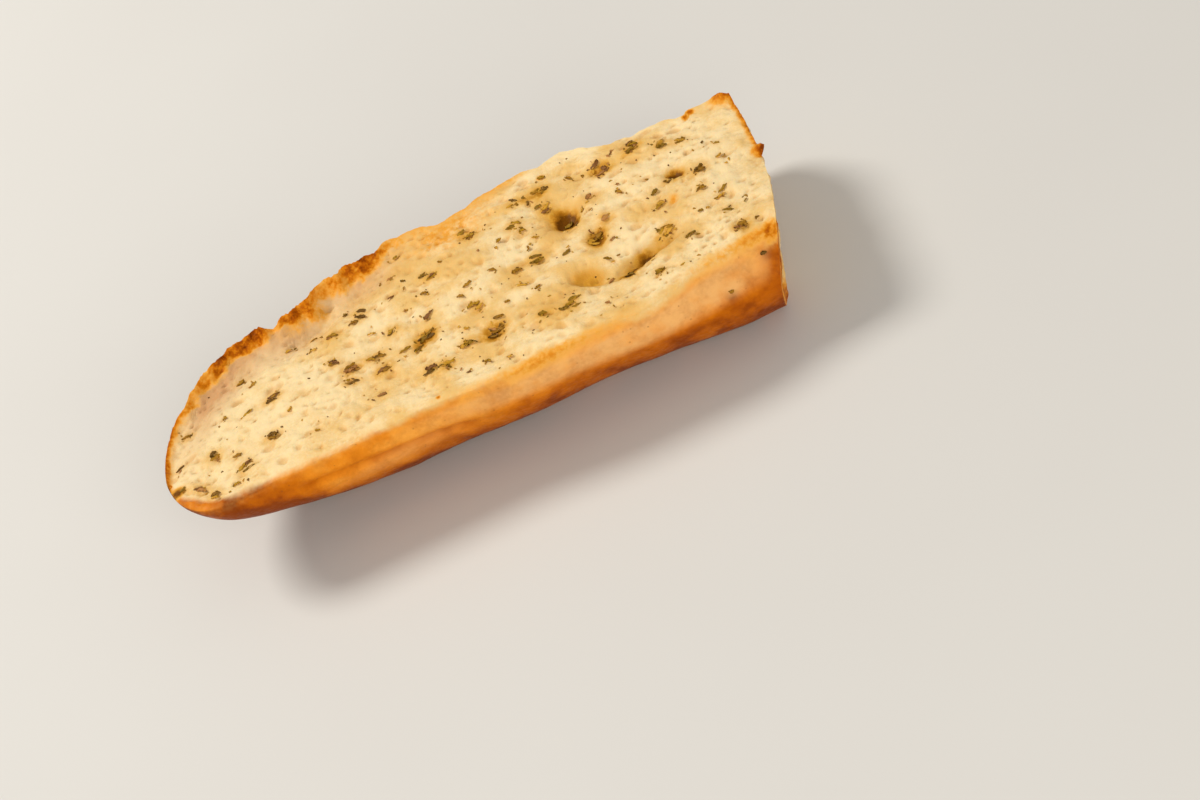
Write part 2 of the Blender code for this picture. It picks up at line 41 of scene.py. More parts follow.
# the half roll: x runs from the nose to the cut, y from the near side to the far one, z up from the table
loaf = {
    "name": "garlicBreadLoaf",
    "middle": (-1.262, 2.607),  # the middle of its box, which goes to the origin
    "face": 33.0,  # height of the buttered face
    "nose": -97.0, "cut": 94.5, "tip": -15.0,  # ends in x, and the tip's y
    "near": -34.4, "far": 41.0,  # the long sides in y
    "nearNose": 16.0, "farNose": 70.0,  # how far back from the tip each side starts
    "farWallLess": 2.5, "farEdgeLess": 1.5,  # how far the far wall and edge lie inside that long side
    "cutBow": 9.5, "cutBend": 2.8, "cutLean": 7.5, "cutReach": 42.0,  # the slant of the cut end
    # what changes along x: a level, its ramps as (from, to, change) and its swells as (place, width, height)
    "profiles": {
        "nearWall": (0, ((-28, 8, -4.4),), ()),
        "farWall": (0, ((-40, -10, 2.5),), ((34, 34, 3.0),)),
        "nearEdge": (0, ((42, 66, 5.2), (64, 92, 1.6)), ()),
        "farEdge": (
            0, ((-36, -14, 1.5), (44, 58, -4.0), (58, 90, -1.6)),
            ((-50, 13, -6.0), (-12, 7, 2.8), (2, 6, -1.0), (36, 20, 4.3)),
        ),
        # how strong a finish is: golden rims, butter, dull crumb and painted shade by the lip, and the bake
        # of the crust with painted shade along its crease
        "nearGold": (0.3, ((-16, 8, 0.7),), ((48, 14, -0.63), (12, 9, 0.5), (87, 6, 0.6))),
        "farGold": (1, ((24, 40, -1),), ()),
        "butter": (0.25, ((-60, 10, 0.75), (56, 84, -0.35)), ()),
        "dullAndShade": (0, ((-98, -74, 1), (-26, -4, -1)), ()),
        "dullAndShadePatches": (1, (), ((-39, 8, -0.5), (-78, 9, 0.35))),
        "farBrown": (0, (), ((2, 22, 0.29),)),
        "glow": (0, ((-72, -60, 0.24),), ()),
        "noseBake": (0.35, ((-93, -82, 0.4), (-74, -62, -0.75)), ()),
        "crustPale": (0, ((-42, 6, 1), (74, 90, -0.5), (89, 93, -0.5)), ()),
        "crustBake": (0.95, ((-92, -50, -0.75), (-34, -4, -0.12)), ()),
        "slowBake": (0, ((-66, -48, 1), (-24, 4, -1)), ()),
        # painted shade along the crease of the near crust
        "creaseShade": (0, ((-66, -54, 0.42), (-18, -6, -0.42)), ()),
    },
    "torn": (  # the crisp far edge: x, and how far out it stands there
        (-97, 0.0), (-91, 1.0), (-88.8, 0.6), (-87.2, -2.0), (-85.5, -3.4), (-83.2, -1.2), (-81.2, -2.6),
        (-79.5, -1.0), (-78, -0.8), (-75.2, -2.2), (-73.2, -1.7), (-71.2, -2.9), (-69.8, -1.5),
        (-67.8, -0.7), (-66.2, -1.6), (-64.5, -0.8), (-62.8, -1.2), (-60.2, 0.6), (-58.8, -0.2),
        (-57.2, -2.0), (-54.5, -1.5), (-53, -2.4), (-50, -1.2), (-47, -2.3), (-45.5, -0.9), (-42.2, -3.2),
        (-40.5, -2.1), (-39, -0.1), (-36.5, 0.4), (-34.5, -0.1), (-31.5, -2.6), (-29.2, -0.9),
        (-24.5, -2.4), (-20.8, -1.6), (-18, -2.3), (-14, -0.4), (-10.8, -1.4), (-7.2, 0.4), (-3, 0.9),
        (1, -1.0), (7.5, -0.6), (10.8, -1.2), (16.5, 0.4), (18.8, -0.4), (30.2, -0.7), (35, -2.6),
        (43, -0.3), (46.2, -1.1), (48.5, -0.5), (51.2, -1.4), (54, -1.2), (57, -1.9), (60.5, -0.9),
        (63.8, -2.2), (66.2, -1.1), (74.5, -0.9), (77.5, -2.9), (80, -2.7), (81.2, -0.9), (84.5, -1.2),
        (90.2, -1.0), (93.5, -3.2),
    ),
    "bellyNose": 66.0, "bellyCurve": 1.6, "roundPower": 2.15, "boxyPower": 3.2, "boxy": (20.0, 85.0),
    "swell": 1.4, "baseCut": 1.8, "baseSoftness": 0.7,
    "edgeReach": 0.45, "tornReach": 0.24,  # shares of the belly's depth where the edges' wandering fades out
    # relief of the buttered face
    "shoulder": (1.2, 1.8), "tipDrop": (0.8, 5.0),  # drop and width of its rounded rim
    "waves": ((0.5, 11.0, 40.0, 0.8), (0.35, 6.3, -8.1, 1.9), (0.3, -30.0, 12.0, 0.4)),
    "wavesFade": 9.0,
    "calmNear": (0.2, 5), "calmFar": (0.35, 5),  # share of relief left at each edge, and where it is whole
    "band": (1.5, 9.0, 7.0),  # the sunken crumb inside the lip: depth, place, width
    # x, y, half-length, half-width, depth, degrees, how much shorter it is on the near side, where its wall
    # is steep, butter in it, which is partly painted shade on its walls, herb stain in it
    "hollows": (
        (32.8, -15.8, 5.4, 6.0, 2.8, -38, 0.35, 1.3, 0.35),
        (51.5, -17.3, 11.5, 6.5, 3.4, 14, 0.35, 1.1, 0.15),
        (35.2, 14.5, 4.6, 6.5, 3.8, -25, 0.55, 0.9, 1.35),
        (41, 0, 6, 3, 1.6, 75, 1.0, 0.2, 0.6),
        (69.2, 10.8, 3.6, 3.2, 2.6, -35, 0.6, 0.6, 1.3),
        (50, 29, 8, 3.6, 1.2, -20, 1.0, 0.1, 0.2),
        (3, -18, 4.5, 4, 1.2, 0, 1.0, 0.1, 0.3),
        (-15, -7, 5, 3.6, 1.0, 30, 1.0, 0.2, 0.3),
        (-66, 16, 8, 4, 0.9, 30, 1.0, 0.0, 0.0),
        (-44, 22, 11, 4, 1.2, 10, 1.0, 0.0, 0.0),
    ),
    "hollowEdge": 2.4,  # how abruptly the hollows end
    "lumps": ((7.0, 0.36, 21), (3.0, 0.26, 22), (1.4, 0.16, 23)),  # reach, height and seed
    "poreBend": (0.7, 1.9, (34, 35)), "poreLong": 1.35,  # height, reach and seeds of what bends the pores
    "pits": (  # spacing, radius, depth, share of places that have one, seed
        (6.5, (1.0, 2.2), (0.5, 1.2), 0.42, 31),
        (3.1, (0.55, 1.3), (0.35, 0.9), 0.55, 32),
        (1.7, (0.4, 0.8), (0.18, 0.45), 0.6, 33),
    ),
    # the crisp lip along the far edge
    "lip": {
        "high": 3.0, "low": 0.5, "width": 2.4, "steep": 1.4, "rise": (-94.0, -74.0), "fall": (-30.0, -8.0),
        "notch": (-54.4, 2.0, -0.9), "tooth": (-57.6, 1.3, 0.45),
        # height, reach and seed of its crags
        "crumble": ((0.5, 4.6, 41), (0.4, 1.5, 45)), "flaky": (0.7, 0.9, 42),
        "cragged": (0.12, 3.2),  # the share of crags past the lip, and how far in they reach
        "fray": (0.25, 1.3, 46), "frayLeast": 0.35,  # how far its edge wanders, and the share past the lip
        "toasted": (  # x, how far in it is toasted there, and how much
            (-97, 1.2, 0.6), (-88, 1.5, 0.5), (-80, 2.2, 0.5), (-77, 2.5, 0.52), (-72, 2.8, 0.8),
            (-68, 3.2, 0.84), (-63.5, 3.3, 0.74), (-59.7, 3.4, 1.1), (-55.8, 2.0, 0.34), (-50, 2.1, 0.74),
            (-44.6, 2.8, 0.86), (-39, 3.6, 0.56), (-34, 4.1, 0.4), (-29, 4.3, 0.6), (-23, 4.3, 0.84),
            (-17, 4.1, 0.45), (-10, 4, 0.3), (-4, 4, 0),
        ),
    },
    "peaks": (  # crumbs that stand up at the edge: x, y, width, height
        (92.5, 33.0, 2.6, 1.5), (63.0, 38.6, 1.0, 1.3), (94.0, 3.5, 1.6, 0.8),
    ),
    "nib": (3.2, 1.9, 1.9),  # a crumb that juts out of the cut: y, width, reach
    "nearFray": (0.28, 2.6, 44),  # how far the near edge wanders, reach of that and its seed
    # relief of the crust
    "wrinkles": ((13.0, 0.35, 51), (5.0, 0.16, 52), (2.0, 0.05, 53)),
    "crease": (-68.0, -6.0, 5.4, 0.12, 1.2, 1.0),  # from x to x, place below the edge, slope, width, depth
    "creaseEnds": 12.0,
    "drawIn": (2.4, 3.0),  # how far down the crust is drawn to the face's near and far edge
    "cutTorn": ((5.0, 0.8, 61), (2.2, 0.45, 62)), "cutPores": 1.5, "cutCrust": 2.2,
    # finishes; by x, how far inside its edge the face already has the colour of the crust
    "nearBrowned": (
        (-97, 1.2), (-91, 2.8), (-85, 2.8), (-79, 1.4), (-73, 0.9), (-66, 0.5), (-58, 0.2), (-50, 0),
        (-38, -0.5), (-32, -1.4), (-18, -1.2), (-10, 0), (34, 0), (40, -2.4), (52, -2.4), (60, -1.6),
        (66, -1.6), (72, -2.0), (82, -1.6),
    ),
    "farBrowned": ((-10, 0), (10, -0.6), (24, -2.0)),
    "marks": (  # toasted spots of the face, the first partly painted shade in the hollow inside the lip: x, y, reach, strength
        (-41.0, 28.5, 4.0, 0.34), (92.6, 33.5, 4.2, 0.72), (95.0, 2.8, 2.4, 1.15), (65.5, 0.0, 2.0, 0.4),
        (82.0, 33.4, 1.1, 1.0), (80.0, 32.0, 1.0, 0.75), (34.5, 38.0, 1.2, 0.6), (-23.0, 38.5, 2.2, 0.95),
        (-57.6, 29.0, 1.8, 1.0), (-18.0, -33.6, 0.6, 0.8), (92.2, -32.2, 3.0, 0.66),
        (-95.2, -20.2, 1.8, 1.2),
    ),
    "oilSpots": (  # where herb oil gathered: x, y, reach, strength
        (34.6, 19.0, 3.4, 0.55), (32.0, 17.5, 2.0, 0.15), (31.0, 31.0, 3.2, 0.35), (50.0, -15.0, 3.2, 0.8),
        (46.5, -19.5, 2.2, 0.8), (42.5, -21.5, 1.8, 0.6), (34.0, -15.0, 2.6, 0.25),
        (-95.4, -20.4, 1.7, 1.4), (69.9, -12.0, 2.4, 0.28), (27.2, 30.9, 2.0, 0.35),
        (23.3, 9.5, 1.8, 0.25), (15.1, 15.5, 1.8, 0.22), (78.6, 15.3, 1.6, 0.22),
    ),
    "soaked": (  # places of the face with more butter or less: x, y, reach, how much
        (-88, -6, 5, 0.25), (44, 36, 4, 0.4), (8, 31, 4, -0.3), (32, 25, 4, 0.2), (-40, 16, 9, 0.3),
        (-16, 20, 9, 0.35), (-28, -14, 10, 0.3), (-4, -22, 8, 0.35), (80, -14, 7, 0.3), (-64, -22, 8, 0.2),
        (-40, -26, 9, 0.25), (32, 31, 6, 0.3), (8, 31, 7, -0.4), (80, 8, 9, -0.4), (-44, -6, 9, -0.35),
        (8, -25, 9, -0.4), (50, -6, 12, -0.2), (50, -28, 9, -0.35), (20, 25, 6, -0.2), (56, 25, 6, -0.3),
        (57, 2, 5, 0.35), (80, -6, 5, -0.3), (32, -22, 5, -0.3), (-4, -29, 5, -0.3), (-52, -30, 6, 0.3),
        (-40, -14, 6, 0.25), (44, 18, 5, 0.3), (32, 18, 5, 0.3), (56, -22, 4, 0.25), (20, -22, 5, 0.3),
        (8, 25, 4, 0.3), (56, 36, 5, 0.4), (-76, -29, 4, 0.3), (44, -14, 3, 0.2), (-88, -29, 4, 0.3),
    ),
    # patchiness of each finish: strength, reach, seed and octaves
    "patches": {
        "lipInside": (1.7, 2.6, 75, 3), "lipToast": (0.6, 2.8, 71, 3), "farBrown": (0.4, 4, 74, 2),
        "dullAndShade": (0.22, 4.5, 73, 2), "butter": (0.62, 9, 72, 3), "crustToast": (0.6, 2.8, 76, 3),
        "underside": (0.42, 9, 79, 3), "cutInside": (2.4, 4.0, 77, 2), "cutButter": (0.35, 7.0, 78, 2),
    },
    # pairs of places are where a finish starts to come in and where it is full
    "toasting": {
        "lipFade": (1.7, 0.25), "lipEdge": (0.8, (0, 0.5)),  # in shares of the lip's toasted reach
        "glowFade": (9, 2), "farFade": (20, 9), "farLeast": 0.9, "gold": 0.26, "goldWidth": 2.6,
        "noseEdge": (0.62, 1.1), "noseX": (-84, -92), "noseY": (-24, -16),  # strength and width, then where
        "cutEdge": (0.6, 1.4), "cutY": (-2, 4),
        "crustFade": (3.2, 0.3), "corner": (92.6, 3.4, 0.68),  # near corner of the cut: x, reach, strength
    },
    # dull crumb and painted shade cast by the lip over the sunken band inside it
    "dullAndShading": {"fromNear": (4, 12), "bands": ((0.58, (20, 9)), (0.42, (9, 5))), "level": 0.95},
    "buttering": {"level": 0.36, "stretch": 1.7, "gold": 0.3, "most": 1.4, "crust": 0.5},
    "staining": {"herbs": 0.52, "edge": (-1.5, 1.5), "most": 1.3},
    "baking": {
        "face": 0.15, "noseY": (-16, -26), "lip": 0.8, "lipFade": (4, 1),
        # more bake on the crust: how much, between which x, and at which depths below the edge
        "layers": ((0.25, (-98, -97), (15, 34)), (0.3, (84, 94), (24, 12)), (0.4, (89, 93), (13, 6))),
        "swells": ((0.35, -72, 9, (2.5, 7)), (0.08, -52, 22, (9, 3))),  # the same, round a place in x
        "depths": (3, 17, 5, 9), "depthBake": 0.72,  # where it deepens, and how much lower beside the nose
        "creaseShadeWidth": 2.0, "below": (26, 42), "belowLess": 0.26, "belowStretch": 1.5,
        "underHerb": (0.7, 1.7), "cut": 0.55,
    },
    "paleness": {
        "from": (2.5, 1.5), "to": (6.2, 5.0),  # depths below the near and the far edge
        "toMore": (3.0, (0, 40)), "soft": (-1.2, 1.4, 4.5),  # deeper past x, and its soft ends
        "patch": (0.45, -34, 15, 12.5, 3.0),  # a pale patch low on the near crust
    },
    "cutFinish": {
        "ring": (0.22, 1.6), "corner": (0.5, (7, 2.5), (-12, -26)),  # the corner: strength, inward, by y
        "butter": 0.3, "dullAndShade": 0.12, "open": (3, 5),
    },
    "tipFinish": {"rim": -1.5, "toast": 0.3, "bake": 0.2},
    "colours": {
        "crumb": (235, 209, 159), "butteredCrumb": (223, 181, 111), "butter": (208, 150, 62),
        # the dull crumb's colour is also painted shade by the lip
        # the pores' colour is painted shade in them
        "deepButter": (192, 128, 24), "pores": (208, 152, 78), "dullCrumbAndShade": (200, 152, 104),
        # the torn holes' colour is painted shade in them
        "holeShade": (186, 128, 66), "paleCrust": (228, 170, 102), "crustGrain": (214, 196, 180),
        "crustDots": (140, 74, 30), "shine": (255, 214, 150),
    },
    "bands": {  # colours by value, each with the value where it is pure
        "baked": (
            (0.0, (240, 164, 62)), (0.3, (226, 136, 30)), (0.6, (202, 110, 8)), (0.85, (174, 86, 4)),
            (1.0, (136, 60, 4)),
        ),
        "toasted": (
            (0.0, (236, 190, 116)), (0.3, (226, 158, 62)), (0.5, (208, 124, 16)), (0.72, (172, 86, 2)),
            (1.0, (118, 50, 0)),
        ),
        "oil": ((0.0, (228, 180, 98)), (0.4, (210, 152, 54)), (0.7, (168, 108, 20)), (1.0, (106, 60, 2))),
    },
    # the grid
    "noseRows": 96, "noseReach": 42.0, "evenRows": 252, "lanes": 142, "crustLanes": 96, "cutRings": 60,
    "lanesCrowded": 0.09, "arcSteps": 700, "sharp": 62,  # degrees past which an edge stays sharp
}


# 0 before start and 1 past full; between them 3t² - 2t³; full may lie below start
def rise(value, start, full):
    t = np.clip((value - start) / (full - start), 0, 1)
    return t * t * (3 - 2 * t)


# a bell: e to the minus square of the distance over the width
def bell(value, centre, width):
    return np.exp(-(((value - centre) / width) ** 2))


# a round spot: the bell of the distance from its place
def spot(x, y, atX, atY, reach):
    return bell(np.hypot(x - atX, y - atY), 0, reach)


# goes from least up to 1 as the share goes from 0 to 1
def atLeast(least, share):
    return least + (1 - least) * share


# a superellipse's quarter: (1 - (1 - t)^p)^(1/p), with t the distance over its reach
def quarter(distance, reach, power=2.0):
    t = np.clip(distance / reach, 0, 1)
    return (1 - (1 - t) ** power) ** (1 / power)


# lattice noise from about -1 to 1: random heights at whole numbers, joined by smooth steps
def latticeNoise(x, y, z, reach, seed):
    heights = np.random.RandomState(seed).uniform(-1, 1, (32, 32, 32))
    places = np.broadcast_arrays(x / reach, y / reach, z / reach)
    corners = [np.floor(place).astype(int) for place in places]
    parts = [rise(place - corner, 0, 1) for place, corner in zip(places, corners)]
    total = 0.0
    for steps in np.ndindex(2, 2, 2):
        weight = np.prod([part if up else 1 - part for part, up in zip(parts, steps)], axis=0)
        spots = tuple((corner + up) % 32 for corner, up in zip(corners, steps))
        total = total + weight * heights[spots]
    return total


# octaves of that noise: each has half the reach and half the height of the one before
def mottle(x, y, z, reach, seed, octaves=2):
    layers = [latticeNoise(x, y, z, reach / 2**n, seed + n) / 2**n for n in range(octaves)]
    return sum(layers) / sum(0.5**n for n in range(octaves))


# pores: one to a square of the lattice at a random place; inside it the depth goes as (1 - d²)^1.5,
# with d the distance over the pore's radius, and it is longer along x than across
def poreDepth(x, y, spacing, radius, depth, share, seed):
    table = np.random.RandomState(seed).uniform(0, 1, (64, 64, 5))
    column, row = np.floor(x / spacing).astype(int), np.floor(y / spacing).astype(int)
    deepest = np.zeros(np.broadcast(x, y).shape)
    for across, up in np.ndindex(3, 3):
        cell = table[(column + across - 1) % 64, (row + up - 1) % 64]
        atX = (column + across - 1 + cell[..., 0]) * spacing
        atY = (row + up - 1 + cell[..., 1]) * spacing
        size = radius[0] + (radius[1] - radius[0]) * cell[..., 2]
        deep = (depth[0] + (depth[1] - depth[0]) * cell[..., 4]) * (cell[..., 3] < share)
        away = ((x - atX) / (loaf["poreLong"] * size)) ** 2 + ((y - atY) / size) ** 2
        deepest = np.maximum(deepest, deep * np.clip(1 - away, 0, 1) ** 1.5)
    return deepest


# a profile along x: its level, plus its ramps as smooth steps and its swells as bells
def profile(x, name):
    level, ramps, swells = loaf["profiles"][name]
    stepped = level + sum(change * rise(x, start, end) for start, end, change in ramps)
    return stepped + sum(height * bell(x, at, width) for at, width, height in swells)


# what a finish varies by at a place: its strength times the octaves of noise
def patches(x, y, z, name):
    strength, *rest = loaf["patches"][name]
    return strength * mottle(x, y, z, *rest)


# a side's y, brought in to the tip of the nose round an ellipse of that reach
def fromTip(x, y, reach):
    return loaf["tip"] + (y - loaf["tip"]) * quarter(x - loaf["nose"], reach)


# the belly's sides in plan, and the face's edges in plan
def nearWall(x):
    return fromTip(x, loaf["near"] + profile(x, "nearWall"), loaf["nearNose"])


def farWall(x):
    return fromTip(x, loaf["far"] - loaf["farWallLess"] + profile(x, "farWall"), loaf["farNose"])


def nearEdge(x):
    return nearWall(x) + profile(x, "nearEdge")


def farEdge(x, torn=1.0):
    out = profile(x, "farEdge") + torn * np.interp(x, *zip(*loaf["torn"]))
    return fromTip(x, loaf["far"] - loaf["farEdgeLess"] + out, loaf["farNose"])


# 1 beside the nose, where the lip stands up, and 0 past the middle
def besideNose(x):
    start, end = loaf["lip"]["rise"], loaf["lip"]["fall"]
    return rise(x, *start) * (1 - rise(x, *end))


# the lip's height along the far edge, with its notch and its tooth
def lipHeight(x):
    lip = loaf["lip"]
    teeth = sum(share * bell(x, at, width) for at, width, share in (lip["notch"], lip["tooth"]))
    return lip["low"] + (lip["high"] - lip["low"]) * besideNose(x) * (1 + teeth)


# each hollow counts as e to the minus (distance over size)^edge, and is shorter on its near side;
# the depths are summed, and with its square the butter, partly painted shade in the hollow, and the stain
def inHollows(x, y):
    total = np.zeros((3, *np.broadcast(x, y).shape))
    for atX, atY, long, wide, deep, degrees, near, butter, stain in loaf["hollows"]:
        cos, sin = math.cos(math.radians(degrees)), math.sin(math.radians(degrees))
        along = ((x - atX) * cos + (y - atY) * sin) / long
        across = ((y - atY) * cos - (x - atX) * sin) / wide
        across = np.where(across < 0, across / near, across)
        inside = np.exp(-(np.hypot(along, across) ** loaf["hollowEdge"]))
        total = total + np.stack([deep * inside, butter * inside**2, stain * inside**2])
    return total


# the face without finer relief: level, less the waves, hollows, sunken band and rounded rim, plus the lip
def faceForm(x, y):
    fromNear, fromFar = np.maximum(y - nearEdge(x), 0), np.maximum(farEdge(x) - y, 0)
    inside = rise(np.minimum(fromNear, fromFar), 0, loaf["wavesFade"])
    waves = sum(high * np.sin(x / along + y / across + at) for high, along, across, at in loaf["waves"])
    lip = lipHeight(x) * np.exp(-((fromFar / loaf["lip"]["width"]) ** loaf["lip"]["steep"]))
    depth, place, width = loaf["band"]
    band = depth * (1 - rise(x, *loaf["lip"]["fall"])) * bell(fromFar, place, width)
    band = band * rise(fromNear, 0, place + width)
    shoulder = loaf["shoulder"][0] * np.exp(-fromNear / loaf["shoulder"][1])
    tip = loaf["tipDrop"][0] * np.exp(-np.maximum(x - loaf["nose"], 0) / loaf["tipDrop"][1])
    return loaf["face"] + inside * (waves - inHollows(x, y)[0]) + lip - band - np.maximum(shoulder, tip)


# how deep each place lies in the deepest pore of any size, over places that noise has bent a little
def poreAt(x, y, sizesUsed=loaf["pits"]):
    height, reach, seeds = loaf["poreBend"]
    bends = (height * latticeNoise(x, y, 0, reach, seed) for seed in seeds)
    bentX, bentY = (place + bend for place, bend in zip((x, y), bends))
    return np.max([poreDepth(bentX, bentY, *sizes) for sizes in sizesUsed], axis=0)


# the finished face: its form, with lumps and pores that fade at the near rim, and crags on the lip
def faceTop(x, y):
    fromNear, fromFar = np.maximum(y - nearEdge(x), 0), np.maximum(farEdge(x) - y, 0)
    (nearLeast, nearReach), (farLeast, farReach) = loaf["calmNear"], loaf["calmFar"]
    inside = atLeast(nearLeast, rise(fromNear, 0, nearReach)) * atLeast(farLeast, rise(fromFar, 0, farReach))
    lumps = sum(height * latticeNoise(x, y, 0, reach, seed) for reach, height, seed in loaf["lumps"])
    lip = loaf["lip"]
    onLip = atLeast(lip["cragged"][0], besideNose(x)) * bell(fromFar, 0, lip["cragged"][1])
    crumble = sum(height * mottle(x, y, 0, reach, seed) for height, reach, seed in lip["crumble"])
    crumble = crumble + lip["flaky"][0] * (0.5 - np.abs(latticeNoise(x, y, 0, *lip["flaky"][1:])))
    peaks = sum(height * spot(x, y, atX, atY, width) for atX, atY, width, height in loaf["peaks"])
    tip = rise(x - loaf["nose"], 0, 6)
    return faceForm(x, y) + tip * (inside * (lumps - poreAt(x, y)) + onLip * crumble) + peaks


# the wandering of the two edges in y
def frayedEdges(x):
    width, reach, seed = loaf["lip"]["fray"]
    fray = width * mottle(x, 0, 0, reach, seed) * atLeast(loaf["lip"]["frayLeast"], besideNose(x))
    near = loaf["nearFray"][0] * mottle(x, 0, 0, *loaf["nearFray"][1:])
    tip = rise(x - loaf["nose"], 0, 12)
    return nearEdge(x) + near * tip, farEdge(x) + fray * tip


# lays what would hang below the table flat on it, with a soft bend where it leaves
def settle(z):
    soft = loaf["baseSoftness"]
    bend = (z + soft) ** 2 / (4 * soft)
    return np.where(z > soft, z, np.where(z > -soft, bend, 0))


# the belly as (y, z): a superellipse from the near edge, share 0, round below to the far edge, share 1
def bellyForm(x, share):
    near, far = nearWall(x), farWall(x)
    power = 2 / (loaf["roundPower"] + (loaf["boxyPower"] - loaf["roundPower"]) * rise(x, *loaf["boxy"]))
    side = -np.sign(np.cos(np.pi * share)) * np.abs(np.cos(np.pi * share)) ** power
    down = np.abs(np.sin(np.pi * share)) ** power
    edge = np.where(share < 0.5, nearEdge(x), farEdge(x))
    torn = np.where(share < 0.5, 0, farEdge(x) - farEdge(x, torn=0))
    out = edge - torn - np.where(share < 0.5, near, far)
    up = faceForm(x, edge) - loaf["face"]
    lean = 1 - rise(down, 0, loaf["edgeReach"])
    out = out * lean + torn * (1 - rise(down, 0, loaf["tornReach"]))
    swell = loaf["swell"] * np.sin(np.pi * down) * quarter(x - loaf["nose"], loaf["farNose"])
    deepening = quarter(x - loaf["nose"], loaf["bellyNose"], loaf["bellyCurve"])
    depth = (loaf["face"] + loaf["baseCut"]) * deepening
    y = (near + far) / 2 + side * ((far - near) / 2 + swell) + out
    return y, settle(loaf["face"] + up * lean - down * depth)


# how far the slant of the cut slides a place back along x
def slide(x, y, z):
    across = np.clip((loaf["far"] - y) / (loaf["far"] - loaf["near"]), 0, None)
    bow = loaf["cutBow"] * across ** loaf["cutBend"]
    lean = loaf["cutLean"] * np.clip(1 - z / loaf["face"], 0, 1)
    return rise(x, loaf["cut"] - loaf["cutReach"], loaf["cut"]) * (bow + lean)


# the face's height over a finished place: the slide is undone in a few rounds
def topAt(x, y, height=faceTop):
    before = x
    for _ in range(4):
        before = x + slide(before, y, loaf["face"])
    return height(before, y)


# the near crust's height over a place outside the face: its share of the section is halved to in 14 rounds
def crustTop(x, y):
    low, high = np.zeros(y.shape), np.full(y.shape, 0.25)
    for _ in range(14):
        share = (low + high) / 2
        across, height = bellyForm(x, share)
        low, high = np.where(across > y, share, low), np.where(across > y, high, share)
    return height


# rows along x: crowded round the nose by a cosine, then even up to the cut
def rowPlaces():
    angle = np.linspace(0, np.pi / 2, loaf["noseRows"])[1:]
    nose = loaf["nose"] + loaf["noseReach"] * (1 - np.cos(angle))
    return np.concatenate([nose, np.linspace(nose[-1], loaf["cut"], loaf["evenRows"] + 1)[1:]])


# the face as a grid: lanes a little closer together at its two edges
def facePlaces(x):
    t = np.linspace(0, 1, loaf["lanes"])
    lanes = t - loaf["lanesCrowded"] * np.sin(2 * np.pi * t)
    near, far = frayedEdges(x)
    y = near + (far - near) * lanes
    x = np.broadcast_to(x, y.shape)
    z = faceTop(x, y)
    juts = loaf["nib"][2] * bell(y, *loaf["nib"][:2]) * rise(x, loaf["cut"] - 3, loaf["cut"])
    return x, y, np.stack([x - slide(x, y, z) + juts, y, z], axis=-1)


# the crust as a grid: lanes at even steps of arc, whose ends are drawn to the face's edges,
# and pushed out along its normal by wrinkles; the arc from either edge comes with it
def crustPlaces(x, facePoints):
    fine = np.linspace(0, 1, loaf["arcSteps"])[None, :]
    y, z = bellyForm(x, fine)
    arc = np.cumsum(np.hypot(np.diff(y, prepend=y[:, :1]), np.diff(z, prepend=z[:, :1])), axis=1)
    even = np.linspace(0, 1, loaf["crustLanes"])
    share = np.array([np.interp(even, row / row[-1], fine[0]) for row in arc])
    y, z = bellyForm(x, share)
    fromNear, fromFar = even * arc[:, -1:], (1 - even) * arc[:, -1:]
    points = np.stack([x - slide(x, y, z), y, z], axis=-1)
    nearGap, farGap = facePoints[:, :1] - points[:, :1], facePoints[:, -1:] - points[:, -1:]
    nearReach, farReach = loaf["drawIn"]
    points = points + nearGap * bell(fromNear, 0, nearReach)[..., None]
    points = points + farGap * bell(fromFar, 0, farReach)[..., None]
    outward = np.cross(np.gradient(points, axis=1), np.gradient(points, axis=0))
    outward = outward / np.maximum(np.linalg.norm(outward, axis=-1, keepdims=True), 1e-9)
    clear = rise(np.minimum(fromNear, fromFar), 0, 3) * rise(z, 0, 2.5) * rise(x - loaf["nose"], 0, 8)
    wrinkles = sum(
        height * latticeNoise(points[..., 0] / 1.6, points[..., 1], points[..., 2], reach, seed)
        for reach, height, seed in loaf["wrinkles"]
    )
    start, end, place, slope, width, depth = loaf["crease"]
    ends = loaf["creaseEnds"]
    creaseLine = place + slope * np.maximum(x - start, 0)
    crease = depth * bell(fromNear, creaseLine, width)
    crease = crease * rise(x, start, start + ends) * rise(x, end, end - ends)
    points = points + outward * (clear * (wrinkles - crease))[..., None]
    points[..., 2] = np.maximum(points[..., 2], 0)
    return points, fromNear, fromFar


# the cut end: rings that shrink from the outline to its middle; each lies on the slant of the cut,
# torn by noise and by pores, and the distance to the crust comes with them
def cutPlaces(outline, crustOutline):
    rings = loaf["cutRings"]
    t = (np.arange(1, rings) / rings)[:, None, None] ** 0.9
    middle = np.array([0, outline[:, 1].mean(), 0.5 * loaf["face"]])
    points = outline + (middle - outline) * t
    points = np.concatenate([points.reshape(-1, 3), middle[None, :]])
    y, z = points[:, 1], points[:, 2]
    away = np.hypot(y[:, None] - crustOutline[None, :, 1], z[:, None] - crustOutline[None, :, 2]).min(1)
    below = np.maximum(loaf["face"] - z, 0)
    edge = rise(np.minimum(away, below), 0, 2.5)
    torn = sum(height * latticeNoise(0, y, z, reach, seed) for reach, height, seed in loaf["cutTorn"])
    pores = loaf["cutPores"] * poreAt(y * 0.9 + 300, z * 1.1, loaf["pits"][:2])
    onCrumb = rise(away, loaf["cutCrust"] - 0.5, loaf["cutCrust"] + 1)
    points[:, 0] = loaf["cut"] - slide(loaf["cut"], y, z) + edge * (torn - pores * onCrumb)
    return points, away, pores * onCrumb


# quads between neighbouring rows of numbered points
def quadsBetween(ids, flip=False):
    corners = [ids[:-1, :-1], ids[1:, :-1], ids[1:, 1:], ids[:-1, 1:]]
    if flip:
        corners = corners[::-1]
    return np.stack(corners, axis=-1).reshape(-1, 4)


